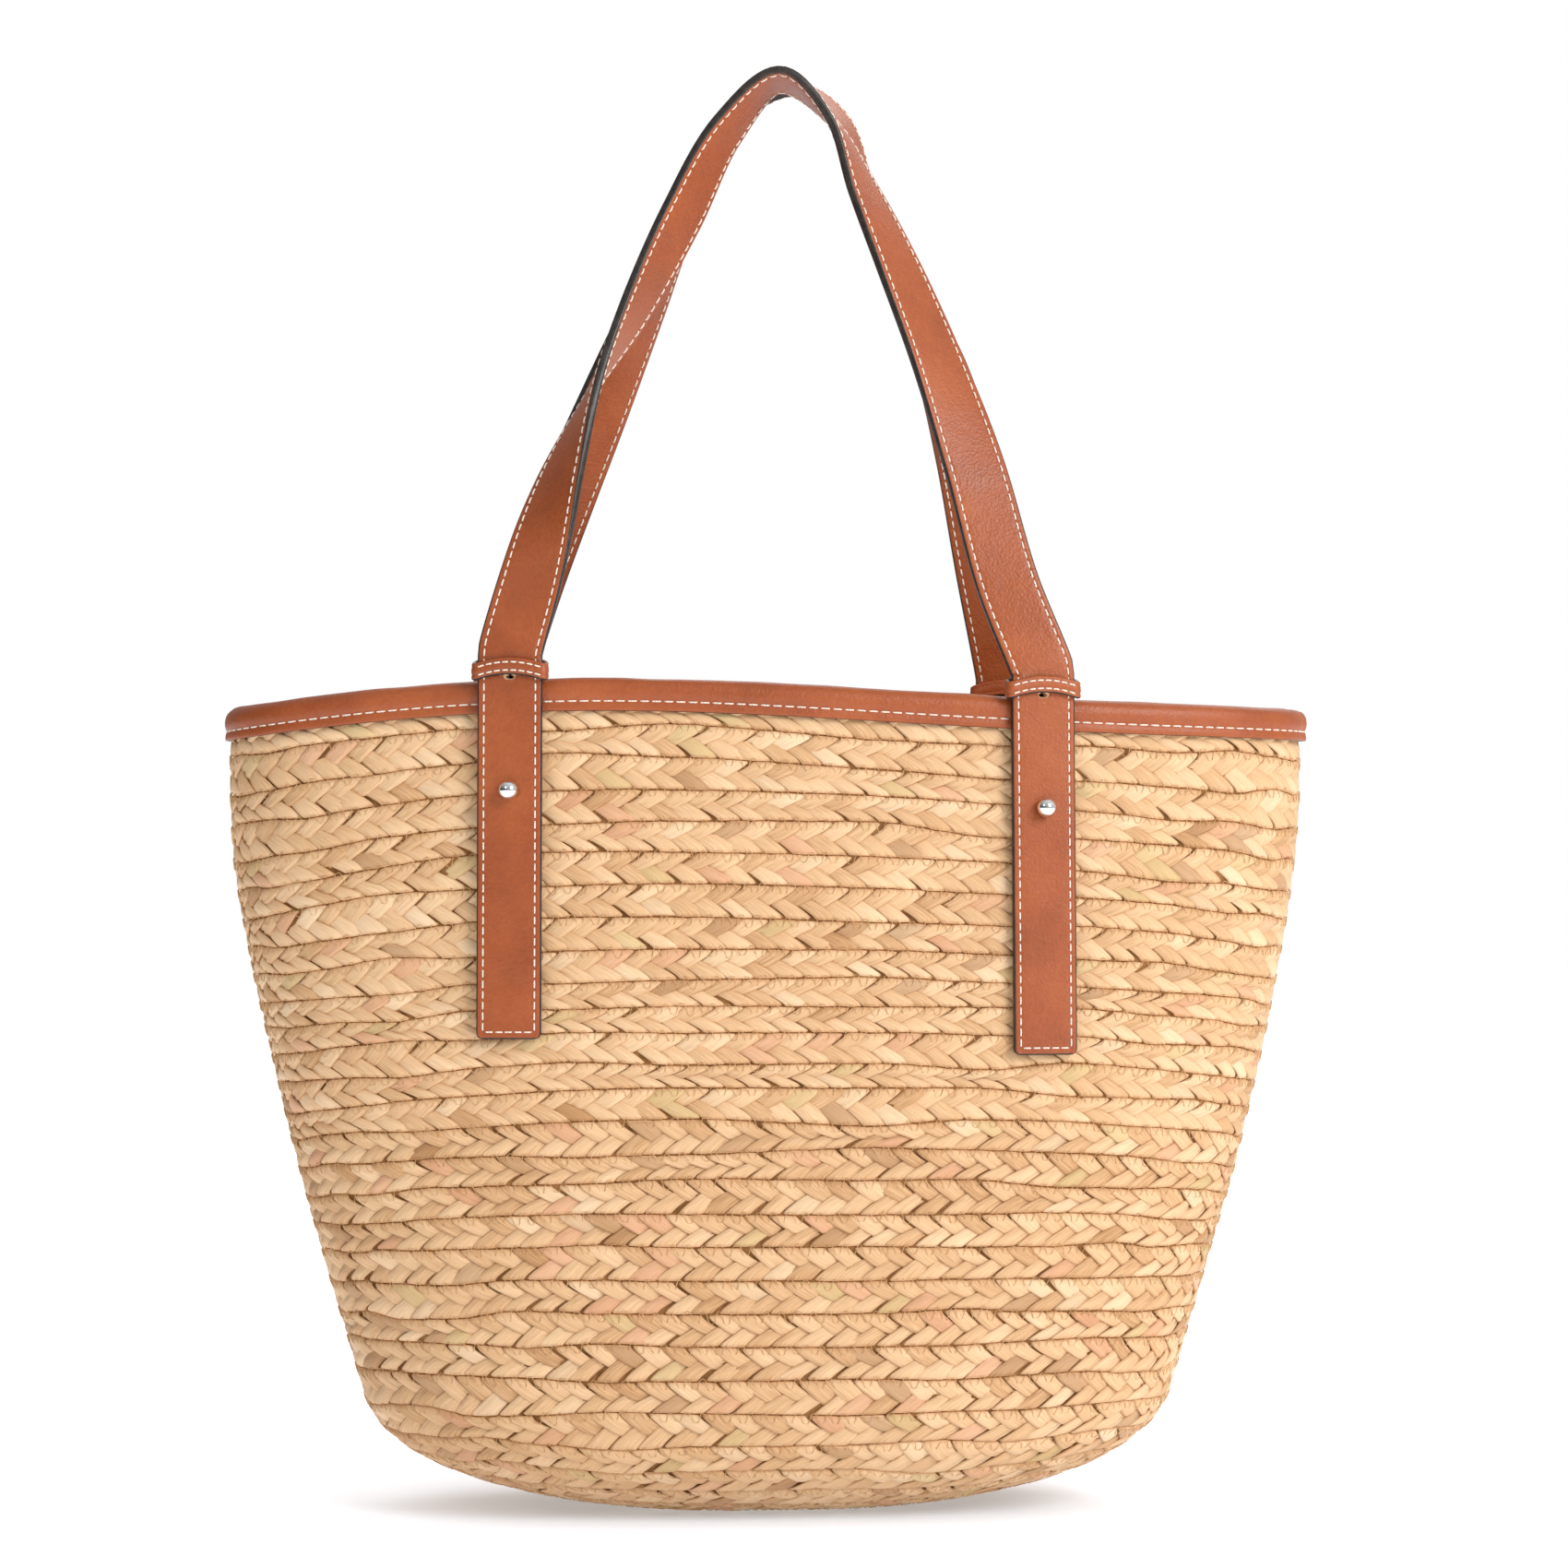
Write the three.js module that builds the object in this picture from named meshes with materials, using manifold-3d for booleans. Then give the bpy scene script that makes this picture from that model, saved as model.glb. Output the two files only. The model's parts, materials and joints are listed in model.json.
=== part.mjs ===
// Straw beach bag: a sewn braid body, a padded leather rim and two buttoned strap handles.
// Millimetres. +X to the wearer's right, +Y to the rear panel, +Z up; origin on the floor, mid base.
import * as THREE from 'three';
import { mergeVertices } from 'three/addons/utils/BufferGeometryUtils.js';
import Module from 'manifold-3d';

const wasm = await Module();
wasm.setup();

// Body
const SECTION_POWER = 2.6;      // superellipse exponent of every horizontal section
const WALL = 5;                 // sewn braid thickness
const GAP = 0.3;                // clearance between pieces that touch
const AROUND = 60;              // facets around the bag
const RIM_Z = 384;              // top of the rim at the middle of the front
const RIM_DROOP = 11;           // how far the ends of the mouth hang below the middle
const RIM_WAVE = 4;             // the left half of the mouth stands this much higher than a level one
const BAND_SEAM_Z = 186;        // height where the wide lower rows meet the narrow upper ones

// Outline of the body from the base to the mouth, as (half width, half depth, height)
const BASE_OUTLINE = new THREE.CubicBezierCurve3(
  new THREE.Vector3(66, 30, 0), new THREE.Vector3(130, 62, 7),
  new THREE.Vector3(180, 84, 24), new THREE.Vector3(190, 88, 52));
const WALL_OUTLINE = new THREE.CubicBezierCurve3(
  new THREE.Vector3(190, 88, 52), new THREE.Vector3(226, 90, 176),
  new THREE.Vector3(259, 83, 286), new THREE.Vector3(251, 77, RIM_Z));

// Rim
const BINDING_HEIGHT = 15;
const BINDING_LEATHER = 2;
const BINDING_OUT = WALL / 2 + GAP + BINDING_LEATHER;   // binding face, from the middle of the wall
const WALL_TOP = -9;                                    // straw edge inside the binding

// Straps
const STRAP_WIDTH = 29.4;
const STRAP_THICK = 4;
const STRAP_X = 121;            // leg centres, left and right of the middle
const TAIL_END = -163;          // all of these are heights measured from the rim
const TAIL_TOP = -5.5;
const PASS_TOP = 10.5;
const SPARE_HOLE = 3;
const STUD_HEIGHT = -50.5;
const TAIL_END_OFFSET = 3.6;    // strap back to the middle of the wall, at the tail's end
const ARCH_STEPS = 38;

// Keepers, tabs and studs
const KEEPER_LEATHER = 2.2;
const KEEPER_BAND = 7.2;
const KEEPER_ARCH = 3.5;        // the band's middle rides this much higher than its sides
const KEEPER_TIP = 2.5;         // and its front hangs this much lower than its back
const TAB_LEATHER = 2.2;
const TAB_WIDTH = 29;
const TAB_END = -66;
const RIM_CLEAR = 1;            // keepers and tabs stand this far off the sloping rim
const BALL_R = 4.5;
const NECK_R = 2;
const STUD_BORE_R = 1.6;
const SCREW_R = 1.3;
const SCREW_HEAD_R = 5;
const KEYHOLE_R = 5;            // lets the ball through as the strap end swings off it
const SPARE_R = 3.4;
const ROUND = 14;               // facets around a stud or screw
const SLIT_WIDTH = 1.2;
const SLIT_LENGTH = 6.5;

const LEATHER = { color: 0xb5622f, roughness: 0.5, metalness: 0 };
const LEATHER_DARK = { color: 0x9c4e1d, roughness: 0.55, metalness: 0 };
const STRAW = { color: 0xd9b377, roughness: 0.85, metalness: 0 };
const CORD = { color: 0xd8ccb4, roughness: 0.9, metalness: 0 };
const CHROME = { color: 0xd6d6d8, roughness: 0.12, metalness: 1 };

const bag = new THREE.Group();

function addPiece(name, geometry, look, parent = bag) {
  const mesh = new THREE.Mesh(geometry, new THREE.MeshStandardMaterial(look));
  mesh.name = name;
  parent.add(mesh);
  return mesh;
}

// ---- solids -------------------------------------------------------------------------------

function solidOf(geometry) {
  const bare = geometry.index ? geometry.toNonIndexed() : geometry.clone();
  bare.deleteAttribute('normal');
  bare.deleteAttribute('uv');
  const merged = mergeVertices(bare, 1e-3);
  return new wasm.Manifold(new wasm.Mesh({
    numProp: 3,
    vertProperties: merged.attributes.position.array,
    triVerts: new Uint32Array(merged.index.array),
  }));
}

function geometryOf(solid) {
  const mesh = solid.getMesh();
  const geometry = new THREE.BufferGeometry();
  geometry.setAttribute('position', new THREE.BufferAttribute(mesh.vertProperties, 3));
  geometry.setIndex(new THREE.BufferAttribute(mesh.triVerts, 1));
  return geometry;
}

function cut(geometry, tools) {
  return geometryOf(tools.reduce((left, tool) => left.subtract(solidOf(tool)), solidOf(geometry)));
}

// ---- body ---------------------------------------------------------------------------------

// Height that the soft mouth adds at x: the ends hang and the left half stands a little proud
function mouthShift(x) {
  const halfWidth = WALL_OUTLINE.v3.x;
  return -RIM_DROOP * (x / halfWidth) ** 2 - RIM_WAVE * Math.sin(Math.PI * x / halfWidth);
}

// The mouth's shape fades out down the upper half of the wall
function mouthShare(z) {
  return THREE.MathUtils.smoothstep(z, RIM_Z / 2, RIM_Z);
}

function onSection(halfWidth, halfDepth, z, angle) {
  const power = 2 / SECTION_POWER;
  const c = Math.cos(angle);
  const s = Math.sin(angle);
  const x = halfWidth * Math.sign(c) * Math.abs(c) ** power;
  const y = halfDepth * Math.sign(s) * Math.abs(s) ** power;
  return new THREE.Vector3(x, y, z + mouthShift(x) * mouthShare(z));
}

// A point of the outline moved inwards by `inset`, square to the outline
function outlinePoint(curve, t, inset) {
  const p = curve.getPoint(t);
  const q = curve.getTangent(t);
  const length = Math.hypot(q.x, q.z);
  return new THREE.Vector3(p.x - inset * q.z / length, p.y - inset * q.z / length, p.z + inset * q.x / length);
}

// Turns a closed list of (half width, half depth, height) stations into a ring or a bowl:
// a lathed profile whose round sections are reshaped into the bag's oval ones
function ovalSolid(stations) {
  const profile = stations.map((s, i) => new THREE.Vector2(s.x, i));
  const lathe = new THREE.LatheGeometry(profile, AROUND);
  const position = lathe.attributes.position;
  for (let i = 0; i < position.count; i += 1) {
    const station = stations[Math.round(position.getY(i))];
    const angle = Math.atan2(position.getX(i), position.getZ(i));
    const onAxis = station.x < 1e-6;
    const p = onAxis ? new THREE.Vector3(0, 0, station.z) : onSection(station.x, station.y, station.z, angle);
    position.setXYZ(i, p.x, p.y, p.z);
  }
  return lathe;
}

// Part of the wall between two heights, as a closed band of braid
function wallBand(from, to, steps) {
  const share = (i) => shareAt(from + (to - from) * i / steps);
  const outside = Array.from({ length: steps + 1 }, (_, i) => outlinePoint(WALL_OUTLINE, share(i), 0));
  const inside = Array.from({ length: steps + 1 }, (_, i) => outlinePoint(WALL_OUTLINE, share(steps - i), WALL));
  return [...outside, ...inside, outside[0].clone()];
}

function baseBowl() {
  const steps = 5;
  const outside = Array.from({ length: steps + 1 }, (_, i) => outlinePoint(BASE_OUTLINE, i / steps, 0));
  const inside = Array.from({ length: steps + 1 }, (_, i) => outlinePoint(BASE_OUTLINE, 1 - i / steps, WALL));
  const axisLow = new THREE.Vector3(0, 0, 0);
  const axisHigh = new THREE.Vector3(0, 0, WALL);
  return [axisLow, ...outside, ...inside, axisHigh];
}

// Share of the wall outline, from the base upwards, at which it reaches a height
function shareAt(z) {
  let low = 0;
  let high = 1;
  for (let i = 0; i < 40; i += 1) {
    const mid = (low + high) / 2;
    if (WALL_OUTLINE.getPoint(mid).z < z) low = mid;
    else high = mid;
  }
  return low;
}

// Section of the wall's middle surface at a height measured from the rim, moved out by `out`
function rimStation(out, height) {
  const p = WALL_OUTLINE.getPoint(shareAt(RIM_Z + height));
  return new THREE.Vector3(p.x - WALL / 2 + out, p.y - WALL / 2 + out, RIM_Z + height);
}

function rimRing(section) {
  const stations = section.map(([out, height]) => rimStation(out, height));
  return ovalSolid([...stations, stations[0].clone()]);
}

function bindingRing() {
  const out = BINDING_OUT;
  const inner = out - BINDING_LEATHER;
  return rimRing([
    [out, -BINDING_HEIGHT], [out, -3], [out * 0.7, -0.8], [0, 0], [-out * 0.7, -0.8], [-out, -3],
    [-out, -BINDING_HEIGHT], [-inner, -BINDING_HEIGHT], [-inner, -3.8], [-inner * 0.6, -2.2],
    [inner * 0.6, -2.2], [inner, -3.8], [inner, -BINDING_HEIGHT],
  ]);
}

function coreRing() {
  const r = WALL / 2 - GAP / 3;
  const low = WALL_TOP + GAP;
  const high = -2.2 - 2 * GAP;
  const mid = (low + high) / 2;
  const shoulder = (high - low) / 4;
  return rimRing([
    [0.5 * r, low], [r, mid - shoulder], [r, mid + shoulder], [0.5 * r, high],
    [-0.5 * r, high], [-r, mid + shoulder], [-r, mid - shoulder], [-0.5 * r, low],
  ]);
}

// ---- strap corners ------------------------------------------------------------------------

// Depth of the surface `out` from the middle of the wall, at x and at a height from the rim
function surfaceDepth(x, out, height) {
  const station = rimStation(out, height);
  const share = 1 - Math.abs(x / station.x) ** SECTION_POWER;
  return station.y * share ** (1 / SECTION_POWER);
}

// Local frame of one strap leg: x along the strap's width, y up the strap, z out of the bag.
// Its origin is on the binding's face, level with the top of the rim.
function cornerFrame(xSide, ySide) {
  const x = xSide * STRAP_X;
  const inner = x - STRAP_WIDTH / 2;
  const outer = x + STRAP_WIDTH / 2;
  const faceDepth = (at) => surfaceDepth(at, BINDING_OUT, 0);
  const depth = Math.max(faceDepth(x), (faceDepth(inner) + faceDepth(outer)) / 2);
  const width = new THREE.Vector3(STRAP_WIDTH, ySide * (faceDepth(outer) - faceDepth(inner)), 0).normalize();
  const lowDepth = surfaceDepth(x, TAIL_END_OFFSET - GAP, TAIL_END);
  const up = new THREE.Vector3(0, ySide * (depth - lowDepth), -TAIL_END).normalize();
  if (ySide > 0) width.negate();
  const out = new THREE.Vector3().crossVectors(width, up).normalize();
  up.crossVectors(out, width);
  const origin = new THREE.Vector3(x, ySide * depth, RIM_Z + mouthShift(x));
  return new THREE.Matrix4().makeBasis(width, up, out).setPosition(origin);
}

function boxBetween(x0, x1, y0, y1, z0, z1) {
  const box = new THREE.BoxGeometry(x1 - x0, y1 - y0, z1 - z0);
  return box.translate((x0 + x1) / 2, (y0 + y1) / 2, (z0 + z1) / 2);
}

function holeTool(radius, height) {
  const depth = 4 * STRAP_THICK;
  return new THREE.CylinderGeometry(radius, radius, depth, ROUND).rotateX(Math.PI / 2).translate(0, height, 0);
}

function slitTool(bottom) {
  const half = SLIT_WIDTH / 2;
  return boxBetween(-half, half, bottom, bottom + SLIT_LENGTH, -STRAP_THICK * 2, STRAP_THICK * 2);
}

const STRAP_BACK = 0.9;           // clears the binding, which swells below the rim
const STRAP_FACE = STRAP_BACK + STRAP_THICK;
const TAB_OUTSIDE = -2 * BINDING_OUT - 0.7;
const TAB_INSIDE = TAB_OUTSIDE - TAB_LEATHER;

function strapTail() {
  const half = STRAP_WIDTH / 2;
  const blank = boxBetween(-half, half, TAIL_END, TAIL_TOP - GAP, STRAP_BACK, STRAP_FACE);
  return cut(blank, [holeTool(KEYHOLE_R, STUD_HEIGHT), slitTool(STUD_HEIGHT)]);
}

function strapPass() {
  const half = STRAP_WIDTH / 2;
  const blank = boxBetween(-half, half, TAIL_TOP, PASS_TOP - GAP, STRAP_BACK, STRAP_FACE);
  return cut(blank, [holeTool(SPARE_R, SPARE_HOLE), slitTool(SPARE_HOLE)]);
}

// Rounded outline with extra points along its two long sides, so that it can be arched
function roundedBox(halfX, low, high, r) {
  const shape = new THREE.Shape();
  const run = (halfX - r) * 2;
  const along = Array.from({ length: 5 }, (_, i) => (i + 1) / 6 * run - run / 2);
  shape.moveTo(halfX, low + r);
  shape.absarc(halfX - r, high - r, r, 0, Math.PI / 2);
  along.forEach((x) => shape.lineTo(-x, high));
  shape.absarc(-halfX + r, high - r, r, Math.PI / 2, Math.PI);
  shape.absarc(-halfX + r, low + r, r, Math.PI, 1.5 * Math.PI);
  along.forEach((x) => shape.lineTo(x, low));
  shape.absarc(halfX - r, low + r, r, 1.5 * Math.PI, 2 * Math.PI);
  return shape;
}

// Closed loop around the strap, its middle arched upwards
function keeperLoop() {
  const clearance = 0.4;
  const t = KEEPER_LEATHER;
  const halfInner = STRAP_WIDTH / 2 + clearance;
  const back = STRAP_BACK - clearance;
  const front = STRAP_FACE + clearance;
  const outline = roundedBox(halfInner + t, -front - t, -back + t, t + 0.6);
  outline.holes.push(roundedBox(halfInner, -front, -back, 0.3));
  const band = new THREE.ExtrudeGeometry(outline, { depth: KEEPER_BAND, bevelEnabled: false, curveSegments: 2 });
  band.rotateX(-Math.PI / 2);
  const position = band.attributes.position;
  for (let i = 0; i < position.count; i += 1) {
    const lift = KEEPER_ARCH * (1 - (position.getX(i) / (halfInner + t)) ** 2);
    const tip = KEEPER_TIP * (position.getZ(i) - back + t) / (front - back + 2 * t);
    position.setY(i, position.getY(i) + lift - tip + RIM_CLEAR);
  }
  return band;
}

// Tab folded over the rim: it ends behind the keeper and runs down inside the wall
function rimTab() {
  const overRim = -KEEPER_LEATHER - 2 * GAP;
  const shape = new THREE.Shape();
  shape.moveTo(overRim, RIM_CLEAR);
  shape.lineTo(overRim, RIM_CLEAR + TAB_LEATHER);
  shape.lineTo(TAB_INSIDE, RIM_CLEAR + TAB_LEATHER);
  shape.lineTo(TAB_INSIDE, TAB_END);
  shape.lineTo(TAB_OUTSIDE, TAB_END);
  shape.lineTo(TAB_OUTSIDE, RIM_CLEAR);
  const tab = new THREE.ExtrudeGeometry(shape, { depth: TAB_WIDTH, bevelEnabled: false });
  tab.translate(0, 0, -TAB_WIDTH / 2).rotateY(-Math.PI / 2);
  return cut(tab, [studHole()]);
}

function studHole() {
  const length = 40;
  const tool = new THREE.CylinderGeometry(NECK_R + 0.4, NECK_R + 0.4, length, ROUND);
  return tool.rotateX(Math.PI / 2).translate(0, STUD_HEIGHT, -length / 2 + 0.1);
}

// Ball, neck and hollow shank of one stud, lathed about its own axis
function ballStud() {
  const shankEnd = TAB_INSIDE + GAP;
  const boreEnd = STRAP_BACK;
  const ballCentre = STRAP_FACE + GAP + BALL_R * 0.9;
  const neckMeet = Math.asin(NECK_R / BALL_R);
  const profile = [new THREE.Vector2(0, boreEnd), new THREE.Vector2(STUD_BORE_R, boreEnd)];
  profile.push(new THREE.Vector2(STUD_BORE_R, shankEnd), new THREE.Vector2(NECK_R, shankEnd));
  const steps = 6;
  for (let i = 0; i <= steps; i += 1) {
    const a = neckMeet + (Math.PI - neckMeet) * i / steps;
    const r = i === steps ? 0 : BALL_R * Math.sin(a);
    profile.push(new THREE.Vector2(r, ballCentre - BALL_R * Math.cos(a)));
  }
  return new THREE.LatheGeometry(profile, ROUND).rotateX(Math.PI / 2).translate(0, STUD_HEIGHT, 0);
}

function studScrew() {
  const headFace = TAB_INSIDE - GAP;
  const headBack = headFace - 1.6;
  const tip = STRAP_BACK - 2;
  const profile = [
    new THREE.Vector2(0, headBack), new THREE.Vector2(SCREW_HEAD_R - 0.8, headBack),
    new THREE.Vector2(SCREW_HEAD_R, headBack + 0.8), new THREE.Vector2(SCREW_HEAD_R, headFace),
    new THREE.Vector2(SCREW_R, headFace), new THREE.Vector2(SCREW_R, tip), new THREE.Vector2(0, tip),
  ];
  return new THREE.LatheGeometry(profile, ROUND).rotateX(Math.PI / 2).translate(0, STUD_HEIGHT, 0);
}

// ---- handle arches ------------------------------------------------------------------------

// Each arch leans in to meet the other one over the mouth. Its points run from the left keeper to
// the right one; the twist is the turn of the strap's face away from facing straight out, in degrees.
const FRONT_ARCH = [
  [-112, -72, 431, 16], [-98.5, -60, 478, 52], [-81, -48.5, 524, 90], [-63, -38.5, 559, 116],
  [-41.5, -28.5, 602, 128], [-20, -21.5, 643, 118], [5, -18, 667, 102], [29, -19, 648, 82],
  [44, -24, 615, 60], [60, -33, 577, 45], [77, -44, 532, 33], [92.5, -57, 483, 15], [106, -70, 430, 6],
];
const REAR_ARCH = [
  [-111, 72, 431, 8], [-95, 60, 474, 16], [-76, 48.5, 520, 34], [-57, 38, 565, 52],
  [-36, 27.5, 611, 76], [-12, 20, 654, 92], [15, 18, 668, 104], [35, 19, 654, 112],
  [50, 25, 621, 100], [70, 36, 576, 70], [88, 48, 535, 42], [99, 57, 498, 22], [111, 70, 440, 8],
];

// Where a leg leaves its keeper, as a place in the bag and a twist that carries on the strap's yaw
function legStart(frame, height) {
  const middle = (STRAP_BACK + STRAP_FACE) / 2;
  return new THREE.Vector3(0, height, middle).applyMatrix4(frame);
}

function handleArch(points, leftFrame, rightFrame, ySide) {
  const yaw = THREE.MathUtils.radToDeg(Math.abs(Math.atan2(leftFrame.elements[1], leftFrame.elements[0])) % Math.PI);
  const startTwist = Math.min(yaw, 180 - yaw);
  const lift = 1.5;
  const ends = (frame) => [legStart(frame, PASS_TOP), legStart(frame, PASS_TOP + lift)];
  const [left0, left1] = ends(leftFrame);
  const [right0, right1] = ends(rightFrame);
  const middle = points.map(([x, y, z]) => new THREE.Vector3(x, y, z));
  const twists = [startTwist, startTwist, ...points.map((p) => p[3]), startTwist, startTwist];
  const path = new THREE.CatmullRomCurve3([left0, left1, ...middle, right1, right0]);
  const turn = new THREE.SplineCurve(twists.map((twist, i) => new THREE.Vector2(i, twist)));
  const box = new THREE.BoxGeometry(STRAP_WIDTH, STRAP_THICK, 1, 1, 1, ARCH_STEPS);
  const position = box.attributes.position;
  for (let i = 0; i < position.count; i += 1) {
    const t = path.getUtoTmapping(position.getZ(i) + 0.5);
    const frame = strapFrame(path, turn, t, ySide);
    const across = frame.inward.multiplyScalar(ySide * position.getX(i));
    const through = frame.face.multiplyScalar(position.getY(i));
    const p = path.getPoint(t).add(across).add(through);
    position.setXYZ(i, p.x, p.y, p.z);
  }
  return box;
}

function strapFrame(path, turn, t, ySide) {
  const along = path.getTangent(t);
  const arch = new THREE.Vector3(-along.z, 0, along.x);
  arch.addScaledVector(along, -arch.dot(along)).normalize();
  const front = new THREE.Vector3().crossVectors(along, arch).multiplyScalar(-ySide);
  const twist = THREE.MathUtils.degToRad(turn.getPoint(t).y);
  const face = front.clone().multiplyScalar(Math.cos(twist)).addScaledVector(arch, Math.sin(twist));
  const inward = front.clone().multiplyScalar(Math.sin(twist)).addScaledVector(arch, -Math.cos(twist));
  return { face, inward };
}

// ---- assembly -----------------------------------------------------------------------------

const SIDES = { front: -1, rear: 1 };
const ENDS = { left: -1, right: 1 };
const frames = {};
for (const [panel, ySide] of Object.entries(SIDES)) {
  for (const [end, xSide] of Object.entries(ENDS)) frames[`${panel}_${end}`] = cornerFrame(xSide, ySide);
}

const wallHoles = Object.values(frames).map((frame) => studHole().applyMatrix4(frame));
const baseTop = WALL_OUTLINE.v0.z;
const lowerBand = wallBand(baseTop + 2 * GAP, BAND_SEAM_Z - GAP, 3);
const upperBand = wallBand(BAND_SEAM_Z, RIM_Z + WALL_TOP, 6);
addPiece('straw_base', ovalSolid(baseBowl()), STRAW);
addPiece('straw_lower', ovalSolid(lowerBand), STRAW);
addPiece('straw_upper', cut(ovalSolid(upperBand), wallHoles), STRAW);
addPiece('rim_core', coreRing(), CORD);
addPiece('rim_binding', bindingRing(), LEATHER);

for (const [name, frame] of Object.entries(frames)) {
  const corner = new THREE.Group();
  corner.applyMatrix4(frame);
  addPiece(`${name}_strap_end`, strapTail(), LEATHER, corner);
  addPiece(`${name}_strap_pass`, strapPass(), LEATHER, corner);
  addPiece(`${name}_keeper`, keeperLoop(), LEATHER, corner);
  addPiece(`${name}_tab`, rimTab(), LEATHER_DARK, corner);
  addPiece(`${name}_stud`, ballStud(), CHROME, corner);
  addPiece(`${name}_screw`, studScrew(), CHROME, corner);
  bag.add(corner);
}

addPiece('front_handle', handleArch(FRONT_ARCH, frames.front_left, frames.front_right, SIDES.front), LEATHER);
addPiece('rear_handle', handleArch(REAR_ARCH, frames.rear_left, frames.rear_right, SIDES.rear), LEATHER);

export default bag;
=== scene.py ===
# Straw beach bag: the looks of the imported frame. Lengths are millimetres until a mesh is made.
import json
import math

import bpy
import numpy as np
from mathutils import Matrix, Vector


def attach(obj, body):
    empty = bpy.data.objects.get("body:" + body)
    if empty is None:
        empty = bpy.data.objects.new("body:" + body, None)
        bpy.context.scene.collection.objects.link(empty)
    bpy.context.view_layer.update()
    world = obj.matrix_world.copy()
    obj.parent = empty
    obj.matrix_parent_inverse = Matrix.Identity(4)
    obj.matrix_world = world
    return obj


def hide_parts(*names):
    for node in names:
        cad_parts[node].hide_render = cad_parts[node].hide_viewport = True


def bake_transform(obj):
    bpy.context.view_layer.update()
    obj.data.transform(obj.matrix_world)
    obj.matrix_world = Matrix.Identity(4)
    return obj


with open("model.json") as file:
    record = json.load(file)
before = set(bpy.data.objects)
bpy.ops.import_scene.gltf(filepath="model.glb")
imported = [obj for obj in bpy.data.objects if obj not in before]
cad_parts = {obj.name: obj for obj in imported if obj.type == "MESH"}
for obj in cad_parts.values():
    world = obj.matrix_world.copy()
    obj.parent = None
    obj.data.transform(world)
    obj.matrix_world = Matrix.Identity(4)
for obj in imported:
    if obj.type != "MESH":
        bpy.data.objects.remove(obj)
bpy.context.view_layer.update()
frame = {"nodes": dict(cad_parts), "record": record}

MM = 0.001
rng = np.random.default_rng(11)            # drawn only by the seam threads

# ---- driving sizes, as in the CAD model except for the spare keyhole ------------------------
SECTION_POWER = 2.6
WALL = 5.0
BASE_OUTLINE = np.array([(66, 30, 0), (130, 62, 7), (180, 84, 24), (190, 88, 52)], float)
WALL_OUTLINE = np.array([(190, 88, 52), (226, 90, 176), (259, 83, 286), (251, 77, 384)], float)
RIM_Z, RIM_DROOP, RIM_WAVE = 384.0, 11.0, 4.0
BAND_SEAM_Z = 186.0
BINDING_HEIGHT, BINDING_OUT = 15.0, 4.8
STRAP_WIDTH, STRAP_THICK, STRAP_BACK, STRAP_X = 29.4, 4.0, 0.9, 121.0
STRAP_FACE = STRAP_BACK + STRAP_THICK
STRAP_MIDDLE = (STRAP_BACK + STRAP_FACE) / 2
TAIL_END, PASS_TOP, TAIL_END_OFFSET = -163.0, 10.5, 3.3
STUD_HEIGHT, SPARE_HOLE = -50.5, 1.0
KEEPER_ARCH, KEEPER_TIP, KEEPER_LEATHER, RIM_CLEAR = 3.5, 2.5, 2.2, 1.0
TAB_LEATHER, TAB_WIDTH, TAB_END = 2.2, 29.0, -66.0
KEEPER_SLACK = 0.4
TAB_OUTSIDE = -2 * BINDING_OUT - 0.7
TAB_INSIDE = TAB_OUTSIDE - TAB_LEATHER
BALL_R, NECK_R, SCREW_HEAD_R = 4.5, 2.0, 5.0
HOLE_R, SPARE_R, SLIT_WIDTH, SLIT_LENGTH = 3.0, 1.9, 1.1, 4.2

# Each arch runs from the left keeper to the right one: x, y, z and the twist of its face, in degrees
FRONT_ARCH = [
    (-112, -72, 431, 16), (-98.5, -60, 478, 52), (-81, -48.5, 524, 90), (-63, -38.5, 559, 116),
    (-41.5, -28.5, 602, 128), (-20, -21.5, 643, 118), (5, -18, 667, 102), (29, -19, 648, 82),
    (44, -24, 615, 60), (60, -33, 577, 45), (77, -44, 532, 33), (92.5, -57, 483, 15), (106, -70, 430, 6)]
REAR_ARCH = [
    (-111, 72, 431, 8), (-95, 60, 474, 16), (-76, 48.5, 520, 34), (-57, 38, 565, 52),
    (-36, 27.5, 611, 76), (-12, 20, 654, 92), (15, 18, 668, 104), (35, 19, 654, 112),
    (50, 25, 621, 100), (70, 36, 576, 70), (88, 48, 535, 42), (99, 57, 498, 22), (111, 70, 440, 8)]

# Braid
FACET = 12.0
BASE_ROWS, LOWER_ROWS, UPPER_ROWS = 7, 9, 13
ROWS = BASE_ROWS + LOWER_ROWS + UPPER_ROWS
STRAND_HALF, STRAND_DEPTH = 0.85, 1.25
ROW_SAG = 13.0                  # how far the lower rows hang at the two ends
THREAD_PITCH = 7.0

# Stitching on leather
STITCH_PITCH, STITCH_DASH, STITCH_R = 4.8, 3.6, 0.38
STITCH_EDGE = 11.7


# ---- small helpers --------------------------------------------------------------------------

def smoothstep(x, low, high):
    t = np.clip((x - low) / (high - low), 0, 1)
    return t * t * (3 - 2 * t)


def unit(v):
    return v / np.maximum(np.linalg.norm(v, axis=-1, keepdims=True), 1e-9)


def bezier(points, t):
    t = np.asarray(t, float)[..., None]
    a, b, c, d = points
    return a * (1 - t) ** 3 + 3 * b * t * (1 - t) ** 2 + 3 * c * t * t * (1 - t) + d * t ** 3


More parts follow.
